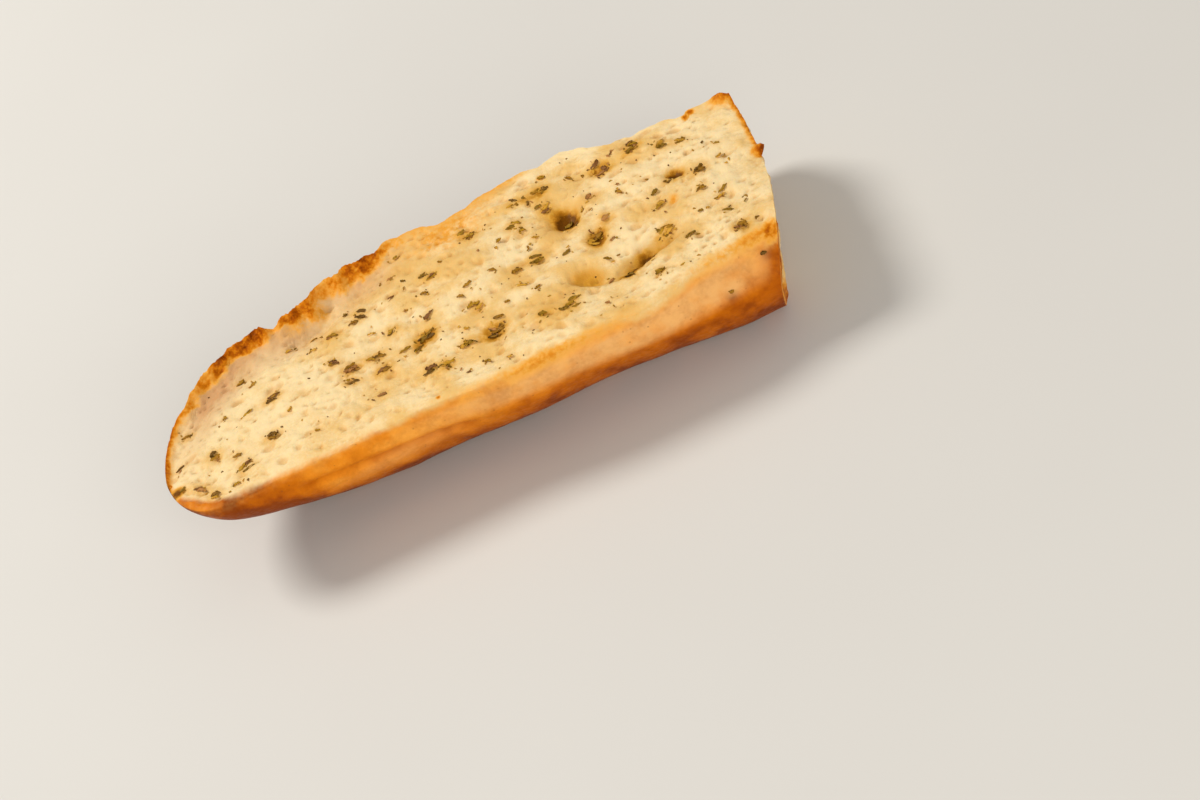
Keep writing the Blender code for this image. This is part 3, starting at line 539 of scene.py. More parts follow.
# a mesh object from points in millimetres, with a value for each point under each name
def makePiece(name, points, faces, values, material):
    mesh = bpy.data.meshes.new(name)
    mesh.from_pydata(points * mm, [], faces)
    for key, numbers in values.items():
        mesh.attributes.new(key, "FLOAT", "POINT").data.foreach_set("value", numbers.astype(np.float32))
    mesh.shade_smooth()
    mesh.materials.append(material)
    piece = bpy.data.objects.new(name, mesh)
    bpy.context.scene.collection.objects.link(piece)
    return piece


def toOrigin(points):
    return points - np.array([*loaf["middle"], 0])


# herb flakes: each is a thin leaf scrap that follows the crumb under it
herbs = {
    "seed": 17,
    "clumps": (  # x, y, spread, number, tone: 0 golden, 1 olive, 2 dark, 3 brown
        (-92.8, -20.2, 0.3, 1, 2), (-92.6, -9.5, 0.4, 1, 2), (-89, -23, 1.3, 2, 1),
        (-84, -28.4, 1.2, 2, 1), (-87.5, 2.5, 1, 2, 0), (-82.5, -13, 1, 2, 1), (-76, -17, 0.6, 1, 2),
        (-73.5, -24, 1.7, 3, 1), (-64.5, -17.5, 0.9, 2, 2), (-60.5, -1, 1.8, 3, 1), (-68, -3, 1, 1, 0),
        (-69, 14.5, 0.7, 1, 0), (-65, 9.5, 0.8, 1, 0), (-45, 19.5, 1.2, 1, 0), (-41, 0.5, 1.3, 2, 1),
        (-40, 14, 1, 2, 1), (-38.5, -11, 0.8, 2, 2), (-36.5, -5, 1.6, 3, 2), (-32.5, -22, 0.7, 1, 2),
        (-31, 16.5, 2.2, 3, 2), (-29.5, -5, 1.8, 3, 2), (-29.5, -12.5, 1.6, 3, 2), (-22, 3.5, 1.2, 2, 2),
        (-19.5, -8, 2.2, 2, 1), (-19, 17, 0.8, 1, 1), (-17, -22, 1.1, 2, 1), (-14, -7, 1.8, 4, 2),
        (-12.5, -22, 1.6, 3, 1), (-10.5, 1, 0.8, 1, 1), (-7, 19, 2, 3, 1), (-5, -19.5, 1.6, 2, 1),
        (0.5, 3, 2, 2, 0), (2.5, -5, 2.4, 3, 1), (3.5, -18.5, 2.4, 6, 2), (6.5, -13, 1, 1, 0),
        (8.5, 28.5, 2, 3, 2), (10.5, 5.5, 1, 1, 0), (16, 2, 0.8, 1, 0), (16.5, -5, 0.8, 1, 0),
        (18.5, -22, 1.2, 2, 1), (21, 20, 2.4, 3, 1), (20.5, -9.5, 0.7, 1, 0), (22, 3.5, 1.7, 3, 1),
        (25.5, -24, 2.4, 4, 1), (24.5, 31, 2.4, 2, 1), (31.5, 0, 0.5, 1, 0), (31.5, 24, 1.8, 3, 0),
        (33, 31.5, 2, 3, 0), (35, 14, 2.4, 4, 1), (34.6, 38, 0.5, 1, 0), (38, -19.5, 0.8, 1, 1),
        (41.2, 1, 2, 5, 1), (42, 32.5, 0.6, 1, 0), (44, 19.5, 1, 1, 0), (45, -21.5, 2, 3, 1),
        (47, 6.3, 1.5, 2, 1), (50.5, 29.5, 2.8, 4, 3), (51.5, -19, 1.4, 3, 1), (52, -28.5, 0.9, 2, 1),
        (59, -11.5, 2, 4, 0), (60, 30.5, 3, 4, 3), (60, 0.5, 2, 2, 1), (61, 6.5, 0.6, 1, 0),
        (63.5, -20, 1, 1, 0), (68.5, 8.5, 1.1, 2, 2), (69, 24.5, 0.9, 2, 1), (72.5, -4, 1.2, 2, 0),
        (76, 24, 1, 2, 0), (76, 6.3, 1.3, 2, 2), (77, -9, 1.5, 2, 0), (76, -17, 0.8, 1, 1),
        (77.5, -26.5, 1.2, 3, 2), (83.5, 13.5, 0.8, 1, 1),
    ),
    "onCrust": ((79.2, -34.5, 53), (66.7, -38.0, 63)),  # two on the near crust: x, y, its slope in degrees
    "loose": 24, "gap": 5.5, "looseX": (-92.0, 90.0), "looseY": (-34.0, 42.0), "clear": 3.2,
    "clumpedLong": (2.8, 5.0), "clumpedWide": (1.1, 1.9), "looseLong": (1.8, 3.2), "looseWide": (0.9, 1.3),
    "swing": 0.75,  # most lie along the loaf, turned by up to this many radians
    "along": 8, "across": 4, "thick": 0.2, "proud": 0.3, "shrink": 0.8,
    "leaf": {  # lowest and highest, drawn for each leaf or point
        "ragged": (-0.5, 0.3), "blunt": (2.0, 3.4), "uneven": (-0.06, 0.06), "bend": (-0.45, 0.45),
        "curl": (-0.1, 0.35), "arch": (0.0, 0.25), "twist": (-0.2, 0.2), "crumple": (-0.12, 0.12),
        "lift": 0.1,
    },
    "bits": 2, "strewn": 1.3, "bitLong": (0.7, 1.7), "bitWide": (0.4, 0.8),  # small bits round every flake
    "crumbled": (  # bits with no flake beside them: x, y, number, tone
        (69.9, -12.0, 3, 0), (27.2, 30.9, 4, 2), (23.3, 9.5, 3, 1), (15.1, 15.5, 3, 0), (78.6, 15.3, 2, 0),
        (53.2, 19.6, 2, 0), (83.1, -14.9, 2, 0), (41.0, 14.1, 2, 1), (-14.4, 20.2, 2, 1), (81.6, 3.3, 2, 0),
        (82.5, -24.4, 1, 2), (-20.4, 23.4, 1, 1), (19.8, -17.7, 1, 1), (-1.4, 20.6, 1, 0),
        (63.5, 13.9, 1, 0), (9.6, 18.3, 1, 0), (55.5, 33.0, 3, 3), (47.0, 31.5, 2, 3),
    ),
    "crumbledSize": 1.5,  # times the size of the other bits
    "specks": 170, "speckSize": (0.22, 0.55), "speckSpreads": (3.5, 14), "speckNear": 0.55,
    "speckScale": (0.6, 1.1), "speckRagged": 0.4,
    "speckHeights": (0.32, -0.14, 0.06), "speckColours": ((112, 78, 28), (196, 150, 74)),
    "stain": {"level": 0.75, "byTone": 0.2, "long": 0.8, "wide": 1.6},  # in shares of the flake's size
    "shades": (0.15, 0.85),
    "kinds": {  # share of the flakes of each tone, darkest and lightest colour
        "darkHerbs": ((0.05, 0.15, 0.6, 0.1), (104, 70, 4), (152, 104, 12)),
        "oliveHerbs": ((0.25, 0.45, 0.25, 0.15), (130, 94, 4), (180, 132, 20)),
        "goldHerbs": ((0.6, 0.25, 0.0, 0.05), (158, 110, 14), (204, 150, 44)),
        "brownHerbs": ((0.1, 0.15, 0.15, 0.7), (122, 76, 28), (176, 120, 60)),
    },
}


# whether a flake at x, y lies on the face, well inside its edges
def onFace(x, y):
    clear = herbs["clear"]
    end = loaf["cut"] - slide(loaf["cut"], y, loaf["face"])
    return nearEdge(x) + clear < y < farEdge(x) - clear and loaf["nose"] + clear < x < end - clear


# most flakes lie along the loaf, a quarter turn from x's, give or take
def flakeTurn(draw):
    return np.pi / 2 + herbs["swing"] * draw.uniform(-1, 1)


# x, y, direction, length, width, slope and tone of each flake: the clumps first, then single ones with
# gaps round them, then those on the crust
def flakePlaces():
    draw = np.random.RandomState(herbs["seed"])
    flakes = []
    for atX, atY, spread, number, tone in herbs["clumps"]:
        for _ in range(number):
            x, y = atX + spread * draw.uniform(-1, 1), atY + spread * draw.uniform(-1, 1)
            size = draw.uniform(*herbs["clumpedLong"]), draw.uniform(*herbs["clumpedWide"])
            flakes.append((x, y, flakeTurn(draw), *size, 0, tone))
    flakes = [flake for flake in flakes if onFace(*flake[:2])]
    total = len(flakes) + herbs["loose"]
    while len(flakes) < total:
        x, y = draw.uniform(*herbs["looseX"]), draw.uniform(*herbs["looseY"])
        size = draw.uniform(*herbs["looseLong"]), draw.uniform(*herbs["looseWide"])
        apart = min(np.hypot(x - flake[0], y - flake[1]) for flake in flakes)
        if apart > herbs["gap"] and onFace(x, y):
            flakes.append((x, y, flakeTurn(draw), *size, 0, 0))
    for x, y, slope in herbs["onCrust"]:
        size = draw.uniform(*herbs["looseLong"]), draw.uniform(*herbs["looseWide"])
        flakes.append((x, y, flakeTurn(draw), *size, math.radians(slope), 2))
    return np.array(flakes)


# small bits that broke off, strewn by a normal draw round every flake and, a little larger, by themselves
def brokenBits(draw, flakes):
    lone = np.array([(x, y, tone) for x, y, number, tone in herbs["crumbled"] for _ in range(number)])
    near = np.concatenate([np.repeat(flakes[:, [0, 1, 6]], herbs["bits"], axis=0), lone])
    count = len(near)
    size = np.where(np.arange(count) < count - len(lone), 1.0, herbs["crumbledSize"])
    x = near[:, 0] + herbs["strewn"] * draw.normal(0, 1, count)
    y = near[:, 1] + herbs["strewn"] * draw.normal(0, 1, count)
    long, wide = size * draw.uniform(*herbs["bitLong"], count), size * draw.uniform(*herbs["bitWide"], count)
    bits = np.column_stack([x, y, draw.uniform(0, np.pi, count), long, wide, np.zeros(count), near[:, 2]])
    return bits[[onFace(*bit[:2]) for bit in bits]]


# oily stain round the flakes: e to the minus square of the distance over a flake's own size, summed
def stainAt(x, y, flakes):
    stain = herbs["stain"]
    total = np.zeros(x.shape)
    for atX, atY, turn, long, wide, _, tone in flakes:
        along = ((y - atY) * math.cos(turn) - (x - atX) * math.sin(turn)) / (stain["long"] * long)
        across = ((x - atX) * math.cos(turn) + (y - atY) * math.sin(turn)) / (stain["wide"] * wide)
        strength = stain["level"] + stain["byTone"] * min(tone, 2)
        total = total + strength * np.exp(-(along**2) - across**2)
    return 1 - np.exp(-total)


# one leaf scrap over u along and v across: its half-width is (1 - |u|^p)^0.55 with ragged sides and p drawn;
# it bends sideways by u², curls up by v², arches by 1 - u², twists by uv and is crumpled by chance
def leafScraps(flakes, draw):
    leaf = herbs["leaf"]
    count, rows, lanes = len(flakes), herbs["along"], herbs["across"]

    def eachLeaf(name):
        return draw.uniform(*leaf[name], (count, 1, 1))

    def eachPoint(name):
        return draw.uniform(*leaf[name], (count, rows, lanes))

    u, v = np.meshgrid(np.linspace(-1, 1, rows), np.linspace(-1, 1, lanes), indexing="ij")
    u, v = u[None], v[None]
    long, wide = (herbs["shrink"] * flakes[:, n, None, None] for n in (3, 4))
    flat = np.minimum(1, wide)
    ragged = 1 + eachPoint("ragged") * np.abs(v)
    half = np.clip(1 - np.abs(u * 0.985) ** eachLeaf("blunt"), 0.02, 1) ** 0.55 * ragged * wide / 2
    along = long / 2 * u * (1 + eachPoint("uneven"))
    across = half * v + flat * eachLeaf("bend") * u**2
    height = eachLeaf("curl") * v**2 + eachLeaf("arch") * (1 - u**2) + eachLeaf("twist") * u * v
    height = flat * (height + eachPoint("crumple")) + leaf["lift"]
    turn = flakes[:, 2, None, None]
    x = flakes[:, 0, None, None] + across * np.cos(turn) - along * np.sin(turn)
    y = flakes[:, 1, None, None] + across * np.sin(turn) + along * np.cos(turn)
    ground = (topAt(x, y) + topAt(x, y, faceForm)) / 2
    atX, atY, slope = (flakes[:, n, None, None] for n in (0, 1, 5))
    onSlope = topAt(atX, atY, crustTop) + herbs["proud"] + (y - atY) * np.sin(slope)
    ground = np.where(slope > 0, onSlope, ground)
    y = atY + (y - atY) * np.cos(slope)
    top = np.stack([x, y, ground + height], axis=-1)
    under = top[:, 1:-1, 1:-1] - np.array([0, 0, herbs["thick"]])
    return top, under


# numbers the points of a top sheet and an underside that share their rim, and joins them
def leafFaces(count):
    rows, lanes = herbs["along"], herbs["across"]
    sheet, inner = rows * lanes, (rows - 2) * (lanes - 2)
    upper = np.arange(sheet).reshape(rows, lanes)
    lower = upper.copy()
    lower[1:-1, 1:-1] = sheet + np.arange(inner).reshape(rows - 2, lanes - 2)
    one = np.concatenate([quadsBetween(upper, flip=True), quadsBetween(lower)])
    return (one[None] + (sheet + inner) * np.arange(count)[:, None, None]).reshape(-1, 4)


# fine herb dust: flat chips, each an octahedron with uneven radii round it
def herbDust(draw, flakes):
    count = herbs["specks"]
    near = flakes[draw.randint(0, len(flakes), count)]
    spread = np.where(draw.uniform(0, 1, count) < herbs["speckNear"], *herbs["speckSpreads"])
    x = near[:, 0] + spread * draw.normal(0, 1, count)
    y = near[:, 1] + spread * draw.normal(0, 1, count)
    keep = [onFace(*place) for place in zip(x, y)]
    x, y = x[keep], y[keep]
    count = len(x)
    ragged = herbs["speckRagged"]
    start, uneven = draw.uniform(0, 2 * np.pi, (count, 1)), draw.uniform(-ragged, ragged, (count, 4))
    angle = start + np.arange(4) * np.pi / 2 + uneven
    radius = draw.uniform(*herbs["speckSize"], (count, 4)) * draw.uniform(*herbs["speckScale"], (count, 1))
    ringX, ringY = x[:, None] + radius * np.cos(angle), y[:, None] + radius * np.sin(angle)
    cornerX, cornerY = np.column_stack([x, x, ringX]), np.column_stack([y, y, ringY])
    top, under, side = herbs["speckHeights"]
    lift = np.array([top, under, side, side, side, side])
    points = np.stack([cornerX, cornerY, topAt(cornerX, cornerY) + lift], axis=-1)
    around = [(2 + n, 2 + (n + 1) % 4) for n in range(4)]
    one = np.array([(0, a, b) for a, b in around] + [(1, b, a) for a, b in around])
    faces = (one[None] + 6 * np.arange(count)[:, None, None]).reshape(-1, 3)
    return points.reshape(-1, 3), faces, np.repeat(draw.uniform(0, 1, count), 6)


# colours are given as a screen shows them, 0 to 255, and turned into light
def paint(red, green, blue):
    light = [v / 255 / 12.92 if v < 11 else ((v / 255 + 0.055) / 1.055) ** 2.4 for v in (red, green, blue)]
    return (*light, 1.0)


# a node with its settings; an input that is another node's socket is joined, and any other is set
def addNode(tree, kind, inputs=None, **settings):
    node = tree.nodes.new(kind)
    for name, value in settings.items():
        setattr(node, name, value)
    for key, value in (inputs or {}).items():
        if isinstance(value, bpy.types.NodeSocket):
            tree.links.new(value, node.inputs[key])
        else:
            node.inputs[key].default_value = value
    return node


# smooth noise whose patches are about that many millimetres long
def noise(tree, coords, size, detail=3.0):
    inputs = {"Vector": coords, "Scale": 1 / (size * mm), "Detail": detail, "Roughness": 0.55}
    return addNode(tree, "ShaderNodeTexNoise", inputs).outputs["Fac"]


# distance from the nearest of points strewn about that many millimetres apart
def strewnDots(tree, coords, size):
    inputs = {"Vector": coords, "Scale": 1 / (size * mm), "Randomness": 1.0}
    return addNode(tree, "ShaderNodeTexVoronoi", inputs).outputs["Distance"]


# a smooth step: toLow up to low, and toHigh from high on
def spread(tree, value, low, high, toLow=0.0, toHigh=1.0):
    inputs = {"Value": value, "From Min": low, "From Max": high, "To Min": toLow, "To Max": toHigh}
    return addNode(tree, "ShaderNodeMapRange", inputs, interpolation_type="SMOOTHSTEP").outputs["Result"]


# two values worked into one, each of them a number or a socket
def calculate(tree, operation, first, second):
    return addNode(tree, "ShaderNodeMath", {0: first, 1: second}, operation=operation).outputs[0]


def plus(tree, first, second):
    return calculate(tree, "ADD", first, second)


def minus(tree, first, second):
    return calculate(tree, "SUBTRACT", first, second)


def times(tree, first, second):
    return calculate(tree, "MULTIPLY", first, second)


# first where the share is 0 and second where it is 1
def blendColours(tree, share, first, second, way="MIX"):
    node = addNode(tree, "ShaderNodeMix", {0: share, 6: first, 7: second}, data_type="RGBA", blend_type=way)
    return node.outputs[2]


# one of the values that the mesh carries
def attribute(tree, name):
    return addNode(tree, "ShaderNodeAttribute", attribute_name=name).outputs["Fac"]


# colours by value, each given with the place where it is pure
def colourBand(tree, value, stops):
    node = addNode(tree, "ShaderNodeValToRGB", {"Fac": value})
    elements = node.color_ramp.elements
    while len(elements) < len(stops):
        elements.new(0.5)
    for element, (place, colour) in zip(elements, stops):
        element.position = place
        element.color = paint(*colour)
    return node.outputs["Color"]


# a shader group with named sockets: kinds are NodeSocketFloat, NodeSocketColor or NodeSocketVector
def newGroup(name, inputs, outputs):
    tree = bpy.data.node_groups.new(name, "ShaderNodeTree")
    for title, kind, value in inputs:
        socket = tree.interface.new_socket(name=title, in_out="INPUT", socket_type=kind)
        if value is not None:
            socket.default_value = value
    for title, kind in outputs:
        tree.interface.new_socket(name=title, in_out="OUTPUT", socket_type=kind)
    return tree, tree.nodes.new("NodeGroupInput").outputs, tree.nodes.new("NodeGroupOutput").inputs


# a baked surface's grain: two colours mottled at two sizes, 3 parts of patches to 1 of fine grain, and its
# height for a bump, 3 parts of patches to 7 of fine grain
def bakedGrain():
    sockets = [
        ("Vector", "NodeSocketVector", None),
        ("Pale", "NodeSocketColor", None),
        ("Deep", "NodeSocketColor", None),
        ("Patches", "NodeSocketFloat", 60.0),
        ("Fine", "NodeSocketFloat", 700.0),
        ("Balance", "NodeSocketFloat", 0.5),
    ]
    results = [("Colour", "NodeSocketColor"), ("Height", "NodeSocketFloat")]
    tree, given, result = newGroup("bakedGrain", sockets, results)

    def mottled(name, detail):
        inputs = {"Vector": given["Vector"], "Scale": given[name], "Detail": detail}
        return addNode(tree, "ShaderNodeTexNoise", inputs).outputs["Fac"]

    patchy, fine = mottled("Patches", 4.0), mottled("Fine", 3.0)
    share = plus(tree, times(tree, patchy, 0.75), times(tree, fine, 0.25))
    share = plus(tree, minus(tree, share, 0.5), given["Balance"])
    colour = blendColours(tree, spread(tree, share, 0.3, 0.7), given["Pale"], given["Deep"])
    height = plus(tree, times(tree, fine, 0.7), times(tree, patchy, 0.3))
    tree.links.new(colour, result["Colour"])
    tree.links.new(height, result["Height"])
    return tree


# a shader group placed in a material, with its own values
def placeGroup(tree, group, inputs):
    return addNode(tree, "ShaderNodeGroup", inputs, node_tree=group).outputs


# an empty material: itself, its nodes, the piece's own coordinates and the shader
def newMaterial(name):
    material = bpy.data.materials.new(name)
    material.use_nodes = True
    tree = material.node_tree
    coords = addNode(tree, "ShaderNodeTexCoord").outputs["Object"]
    return material, tree, coords, tree.nodes["Principled BSDF"]


# the bread: buttered crumb inside the rim and baked crust outside it, each from its own grain;
# the mesh's values say where each finish lies: rim, toast, butter (partly painted shade in the hollows),
# stain, pore (painted shade in the pores), bake, pale, dull crumb with painted shade by the lip, and open
def breadMaterial(grain):
    material, tree, coords, shader = newMaterial("butteredBread")
    rim, toast, butter, stain, pore, bake, pale, dullAndShade, opened = (
        attribute(tree, name)
        for name in ("rim", "toast", "butter", "stain", "pore", "bake", "pale", "dullAndShade", "open")
    )
    colours = {name: paint(*colour) for name, colour in loaf["colours"].items()}

    crumb = placeGroup(tree, grain, {
        "Vector": coords, "Pale": colours["crumb"], "Deep": colours["butteredCrumb"],
        "Patches": 90.0, "Fine": 1300.0, "Balance": spread(tree, butter, 0.0, 0.8, 0.34, 0.8),
    })
    buttered = spread(tree, butter, 0.45, 1.0, 0.0, 0.9)
    colour = blendColours(tree, buttered, crumb["Colour"], colours["butter"])
    # deep butter where most lies, in spots and in the hollows, where it is partly painted shade
    soaked = spread(tree, butter, 0.85, 1.35, 0.0, 0.9)
    colour = blendColours(tree, soaked, colour, colours["deepButter"])
    # painted shade in the pores, stronger the deeper the pore
    colour = blendColours(tree, spread(tree, pore, 0.1, 0.8, 0, 0.45), colour, colours["pores"])
    # dull crumb beside the lip, with painted shade from the lip and the sunken band
    colour = blendColours(tree, dullAndShade, colour, colours["dullCrumbAndShade"])
    # painted shade in the holes of the open crumb on the cut, which the bump also sinks
    hole = times(tree, opened, spread(tree, strewnDots(tree, coords, 2.2), 0.14, 0.34, 0.6, 0.0))
    colour = blendColours(tree, hole, colour, colours["holeShade"])

    zone = plus(tree, bake, spread(tree, noise(tree, coords, 7.0, 4.0), 0.3, 0.7, -0.16, 0.16))
    baked = colourBand(tree, zone, loaf["bands"]["baked"])
    paleHere = times(tree, pale, spread(tree, noise(tree, coords, 5.0), 0.25, 0.6, 0.6, 1.0))
    baked = blendColours(tree, paleHere, baked, colours["paleCrust"])
    crustGrain = placeGroup(tree, grain, {
        "Vector": coords, "Pale": (1, 1, 1, 1), "Deep": colours["crustGrain"],
        "Patches": 160.0, "Fine": 900.0, "Balance": 0.42,
    })
    baked = blendColours(tree, 0.8, baked, crustGrain["Colour"], "MULTIPLY")
    dot = spread(tree, strewnDots(tree, coords, 2.4), 0.10, 0.17, 1.0, 0.0)
    dot = times(tree, dot, spread(tree, noise(tree, coords, 6.0), 0.5, 0.62))
    baked = blendColours(tree, times(tree, dot, 0.55), baked, colours["crustDots"])

    wander = plus(tree, rim, spread(tree, noise(tree, coords, 3.4), 0.3, 0.7, -0.35, 0.35))
    inCrumb = spread(tree, wander, -1.2, 1.7)
    colour = blendColours(tree, inCrumb, baked, colour)
    toasting = times(tree, toast, spread(tree, noise(tree, coords, 1.4), 0.3, 0.7, 0.72, 1.24))
    toasted = colourBand(tree, toasting, loaf["bands"]["toasted"])
    colour = blendColours(tree, spread(tree, toasting, 0.02, 0.32), colour, toasted)
    oily = times(tree, stain, spread(tree, noise(tree, coords, 1.6), 0.3, 0.6, 0.7, 1.0))
    oil = colourBand(tree, oily, loaf["bands"]["oil"])
    colour = blendColours(tree, spread(tree, oily, 0.0, 0.6), colour, oil)
    tree.links.new(colour, shader.inputs["Base Color"])

    matt = spread(tree, noise(tree, coords, 1.5), 0.3, 0.7, 0.5, 0.72)
    tree.links.new(minus(tree, matt, times(tree, butter, 0.16)), shader.inputs["Roughness"])
    heights = {0: inCrumb, 2: crustGrain["Height"], 3: minus(tree, crumb["Height"], hole)}
    height = addNode(tree, "ShaderNodeMix", heights, data_type="FLOAT").outputs[0]
    bump = addNode(tree, "ShaderNodeBump", {"Strength": 0.55, "Distance": 0.35 * mm, "Height": height})
    tree.links.new(bump.outputs["Normal"], shader.inputs["Normal"])
    shader.inputs["Specular IOR Level"].default_value = 0.12
    shader.inputs["Specular Tint"].default_value = colours["shine"]
    shader.inputs["Subsurface Weight"].default_value = 0.12
    shader.inputs["Subsurface Radius"].default_value = (1.0, 0.55, 0.25)
    shader.inputs["Subsurface Scale"].default_value = 2.0 * mm
    return material


# dried leaf: its two colours by flake, darkened in fine veins
def herbMaterial(name, grain, dark, light):
    material, tree, coords, shader = newMaterial(name)
    leaf = placeGroup(tree, grain, {
        "Vector": coords, "Pale": paint(*light), "Deep": paint(*dark), "Patches": 420.0, "Fine": 2400.0,
        "Balance": attribute(tree, "shade"),
    })
    tree.links.new(leaf["Colour"], shader.inputs["Base Color"])
    tree.links.new(spread(tree, leaf["Height"], 0.3, 0.7, 0.5, 0.8), shader.inputs["Roughness"])
    veins = {"Strength": 0.5, "Distance": 0.15 * mm, "Height": leaf["Height"]}
    bump = addNode(tree, "ShaderNodeBump", veins)
    tree.links.new(bump.outputs["Normal"], shader.inputs["Normal"])
    shader.inputs["Specular IOR Level"].default_value = 0.2
    return material


# how far each place of the face lies from its near and far edge, square to them
def edgeDistances(x, y):
    slopes = (np.gradient(edge[:, 0], x[:, 0])[:, None] for edge in (nearEdge(x), farEdge(x, torn=0)))
    return [away / np.hypot(1, slope) for away, slope in zip((y - y[:, :1], y[:, -1:] - y), slopes)]


# how far in the lip is toasted at x, and how much
def lipToast(x):
    places, reach, amount = zip(*loaf["lip"]["toasted"])
    return np.interp(x, places, reach), np.interp(x, places, amount)


# gold along an edge: its strength at x times a bell of the distance from the nearer edge
def goldenRim(x, fromNear, fromFar):
    strength = np.where(fromNear < fromFar, profile(x, "nearGold"), profile(x, "farGold"))
    return strength * bell(np.minimum(fromNear, fromFar), 0, loaf["toasting"]["goldWidth"])


# the face's toast is the most of these: the patchy lip with a glow inside it, the brown of the far side,
# the golden rims, the edges at nose and cut, and the marks, one of which is partly painted shade
def faceToast(x, y, fromNear, fromFar):
    toasting = loaf["toasting"]
    reach, amount = lipToast(x)
    inward = (fromFar + patches(x, y, 0, "lipInside")) / reach
    least, outermost = toasting["lipEdge"]
    onLip = atLeast(least, rise(inward, *outermost)) * rise(inward, *toasting["lipFade"])
    glow = profile(x, "glow") * rise(fromFar, *toasting["glowFade"])
    onLip = amount * np.maximum(onLip, glow) * (1 + patches(x, y, 0, "lipToast"))
    farBrown = profile(x, "farBrown") * rise(fromFar, *toasting["farFade"])
    farBrown = farBrown * (toasting["farLeast"] + patches(x / 2, y, 0, "farBrown"))
    gold = toasting["gold"] * goldenRim(x, fromNear, fromFar)
    strength, width = toasting["noseEdge"]
    noseEdge = strength * bell(np.minimum(fromNear, fromFar), 0, width)
    noseEdge = noseEdge * rise(x, *toasting["noseX"]) * rise(y, *toasting["noseY"])
    strength, width = toasting["cutEdge"]
    cutEdge = strength * bell(loaf["cut"] - x, 0, width) * rise(y, *toasting["cutY"])
    marks = [strength * spot(x, y, atX, atY, reach) for atX, atY, reach, strength in loaf["marks"]]
    return np.max([onLip, farBrown, gold, noseEdge, cutEdge, *marks], axis=0)


# dull crumb beside the lip, with painted shade cast by the lip over the sunken band: a sum of steps away
# from it, patchy, and faded at both ends
def faceDullAndShade(x, y, fromNear, fromFar):
    dullAndShading = loaf["dullAndShading"]
    bands = sum(strength * rise(fromFar, *step) for strength, step in dullAndShading["bands"])
    bands = bands * profile(x, "dullAndShade") * rise(fromNear, *dullAndShading["fromNear"])
    return bands * (dullAndShading["level"] + patches(x, y, 0, "dullAndShade")) * profile(x, "dullAndShadePatches")


# all finishes of the face: besides those above, butter and herb oil are the sum of what lies in hollows, in
# patches, round the flakes and in spots, and the rim is the distance inside the browned edge
def faceFinish(x, faceX, faceY, face, flakes):
    fromNear, fromFar = edgeDistances(x, faceY)
    nearBrowned, farBrowned = (np.interp(x, *zip(*loaf[key])) for key in ("nearBrowned", "farBrowned"))
    crumb = np.minimum(fromNear - nearBrowned, fromFar - farBrowned)
    # the butter in the hollows is partly painted shade on their walls
    _, butter, stain = inHollows(faceX, faceY)
    buttering, staining, baking = loaf["buttering"], loaf["staining"], loaf["baking"]
    golden = buttering["level"] + patches(faceX / buttering["stretch"], faceY, 0, "butter")
    butter = butter + golden * profile(faceX, "butter")
    butter = butter + buttering["gold"] * goldenRim(faceX, fromNear, fromFar)
    butter = butter + sum(more * spot(faceX, faceY, *place) for *place, more in loaf["soaked"])
    herbOil = stainAt(face[..., 0], face[..., 1], flakes) * rise(crumb, *staining["edge"])
    stain = stain + staining["herbs"] * herbOil
    stain = stain + sum(strength * spot(faceX, faceY, *place) for *place, strength in loaf["oilSpots"])
    nose = baking["face"] + profile(faceX, "noseBake") * rise(faceY, *baking["noseY"])
    onLip = baking["lip"] * lipToast(faceX)[1] * rise(fromFar, *baking["lipFade"])
    return {
        "rim": crumb,
        "toast": faceToast(faceX, faceY, fromNear, fromFar),
        "dullAndShade": faceDullAndShade(faceX, faceY, fromNear, fromFar),
        "butter": np.clip(butter, 0, buttering["most"]),
        "stain": np.clip(stain, 0, staining["most"]),
        # pore depth, which the material turns into painted shade
        "pore": np.clip(poreAt(faceX, faceY), 0, 1),
        "bake": np.maximum(nose, onLip),
    }


# the crust is pale in a band under the golden line at its edge, and in one patch lower down
def crustPale(x, near, far):
    paleness, arc = loaf["paleness"], np.minimum(near, far)
    start, end = (np.where(near < far, *paleness[key]) for key in ("from", "to"))
    more, step = paleness["toMore"]
    end = end + (near < far) * more * rise(x, *step)
    before, after, fade = paleness["soft"]
    pale = rise(arc, start + before, start + after) * rise(arc, end + fade, end) * profile(x, "crustPale")
    strength, atX, wideX, depth, wide = paleness["patch"]
    return np.maximum(pale, strength * bell(x, atX, wideX) * bell(near, depth, wide))


# the crust's bake is a sum: it deepens down the side, more in layers, round places and, as painted shade, in
# the crease, in patches below, and round each flake that fell on it
def crustBake(x, near, far, crust):
    baking, arc = loaf["baking"], np.minimum(near, far)
    start, full, startMore, fullMore = baking["depths"]
    slow = profile(x, "slowBake")
    bake = baking["depthBake"] * rise(arc, start + startMore * slow, full + fullMore * slow)
    bake = bake + profile(x, "crustBake")
    for more, step, depths in baking["layers"]:
        bake = bake + more * rise(x, *step) * rise(arc, *depths)
    for more, atX, width, depths in baking["swells"]:
        bake = bake + more * bell(x, atX, width) * rise(near, *depths)
    start, _, place, slope, _, _ = loaf["crease"]
    # painted shade along the crease
    bake = bake + profile(x, "creaseShade") * bell(near, place + slope * (x - start), baking["creaseShadeWidth"])
    below = patches(x / baking["belowStretch"], crust[..., 1], 0, "underside") - baking["belowLess"]
    bake = bake + below * rise(arc, *baking["below"])
    more, reach = baking["underHerb"]
    for atX, atY, _ in herbs["onCrust"]:
        height = topAt(np.array([atX]), np.array([atY]), crustTop)[0]
        bake = bake + more * bell(np.linalg.norm(crust - np.array([atX, atY, height]), axis=-1), 0, reach)
    return bake


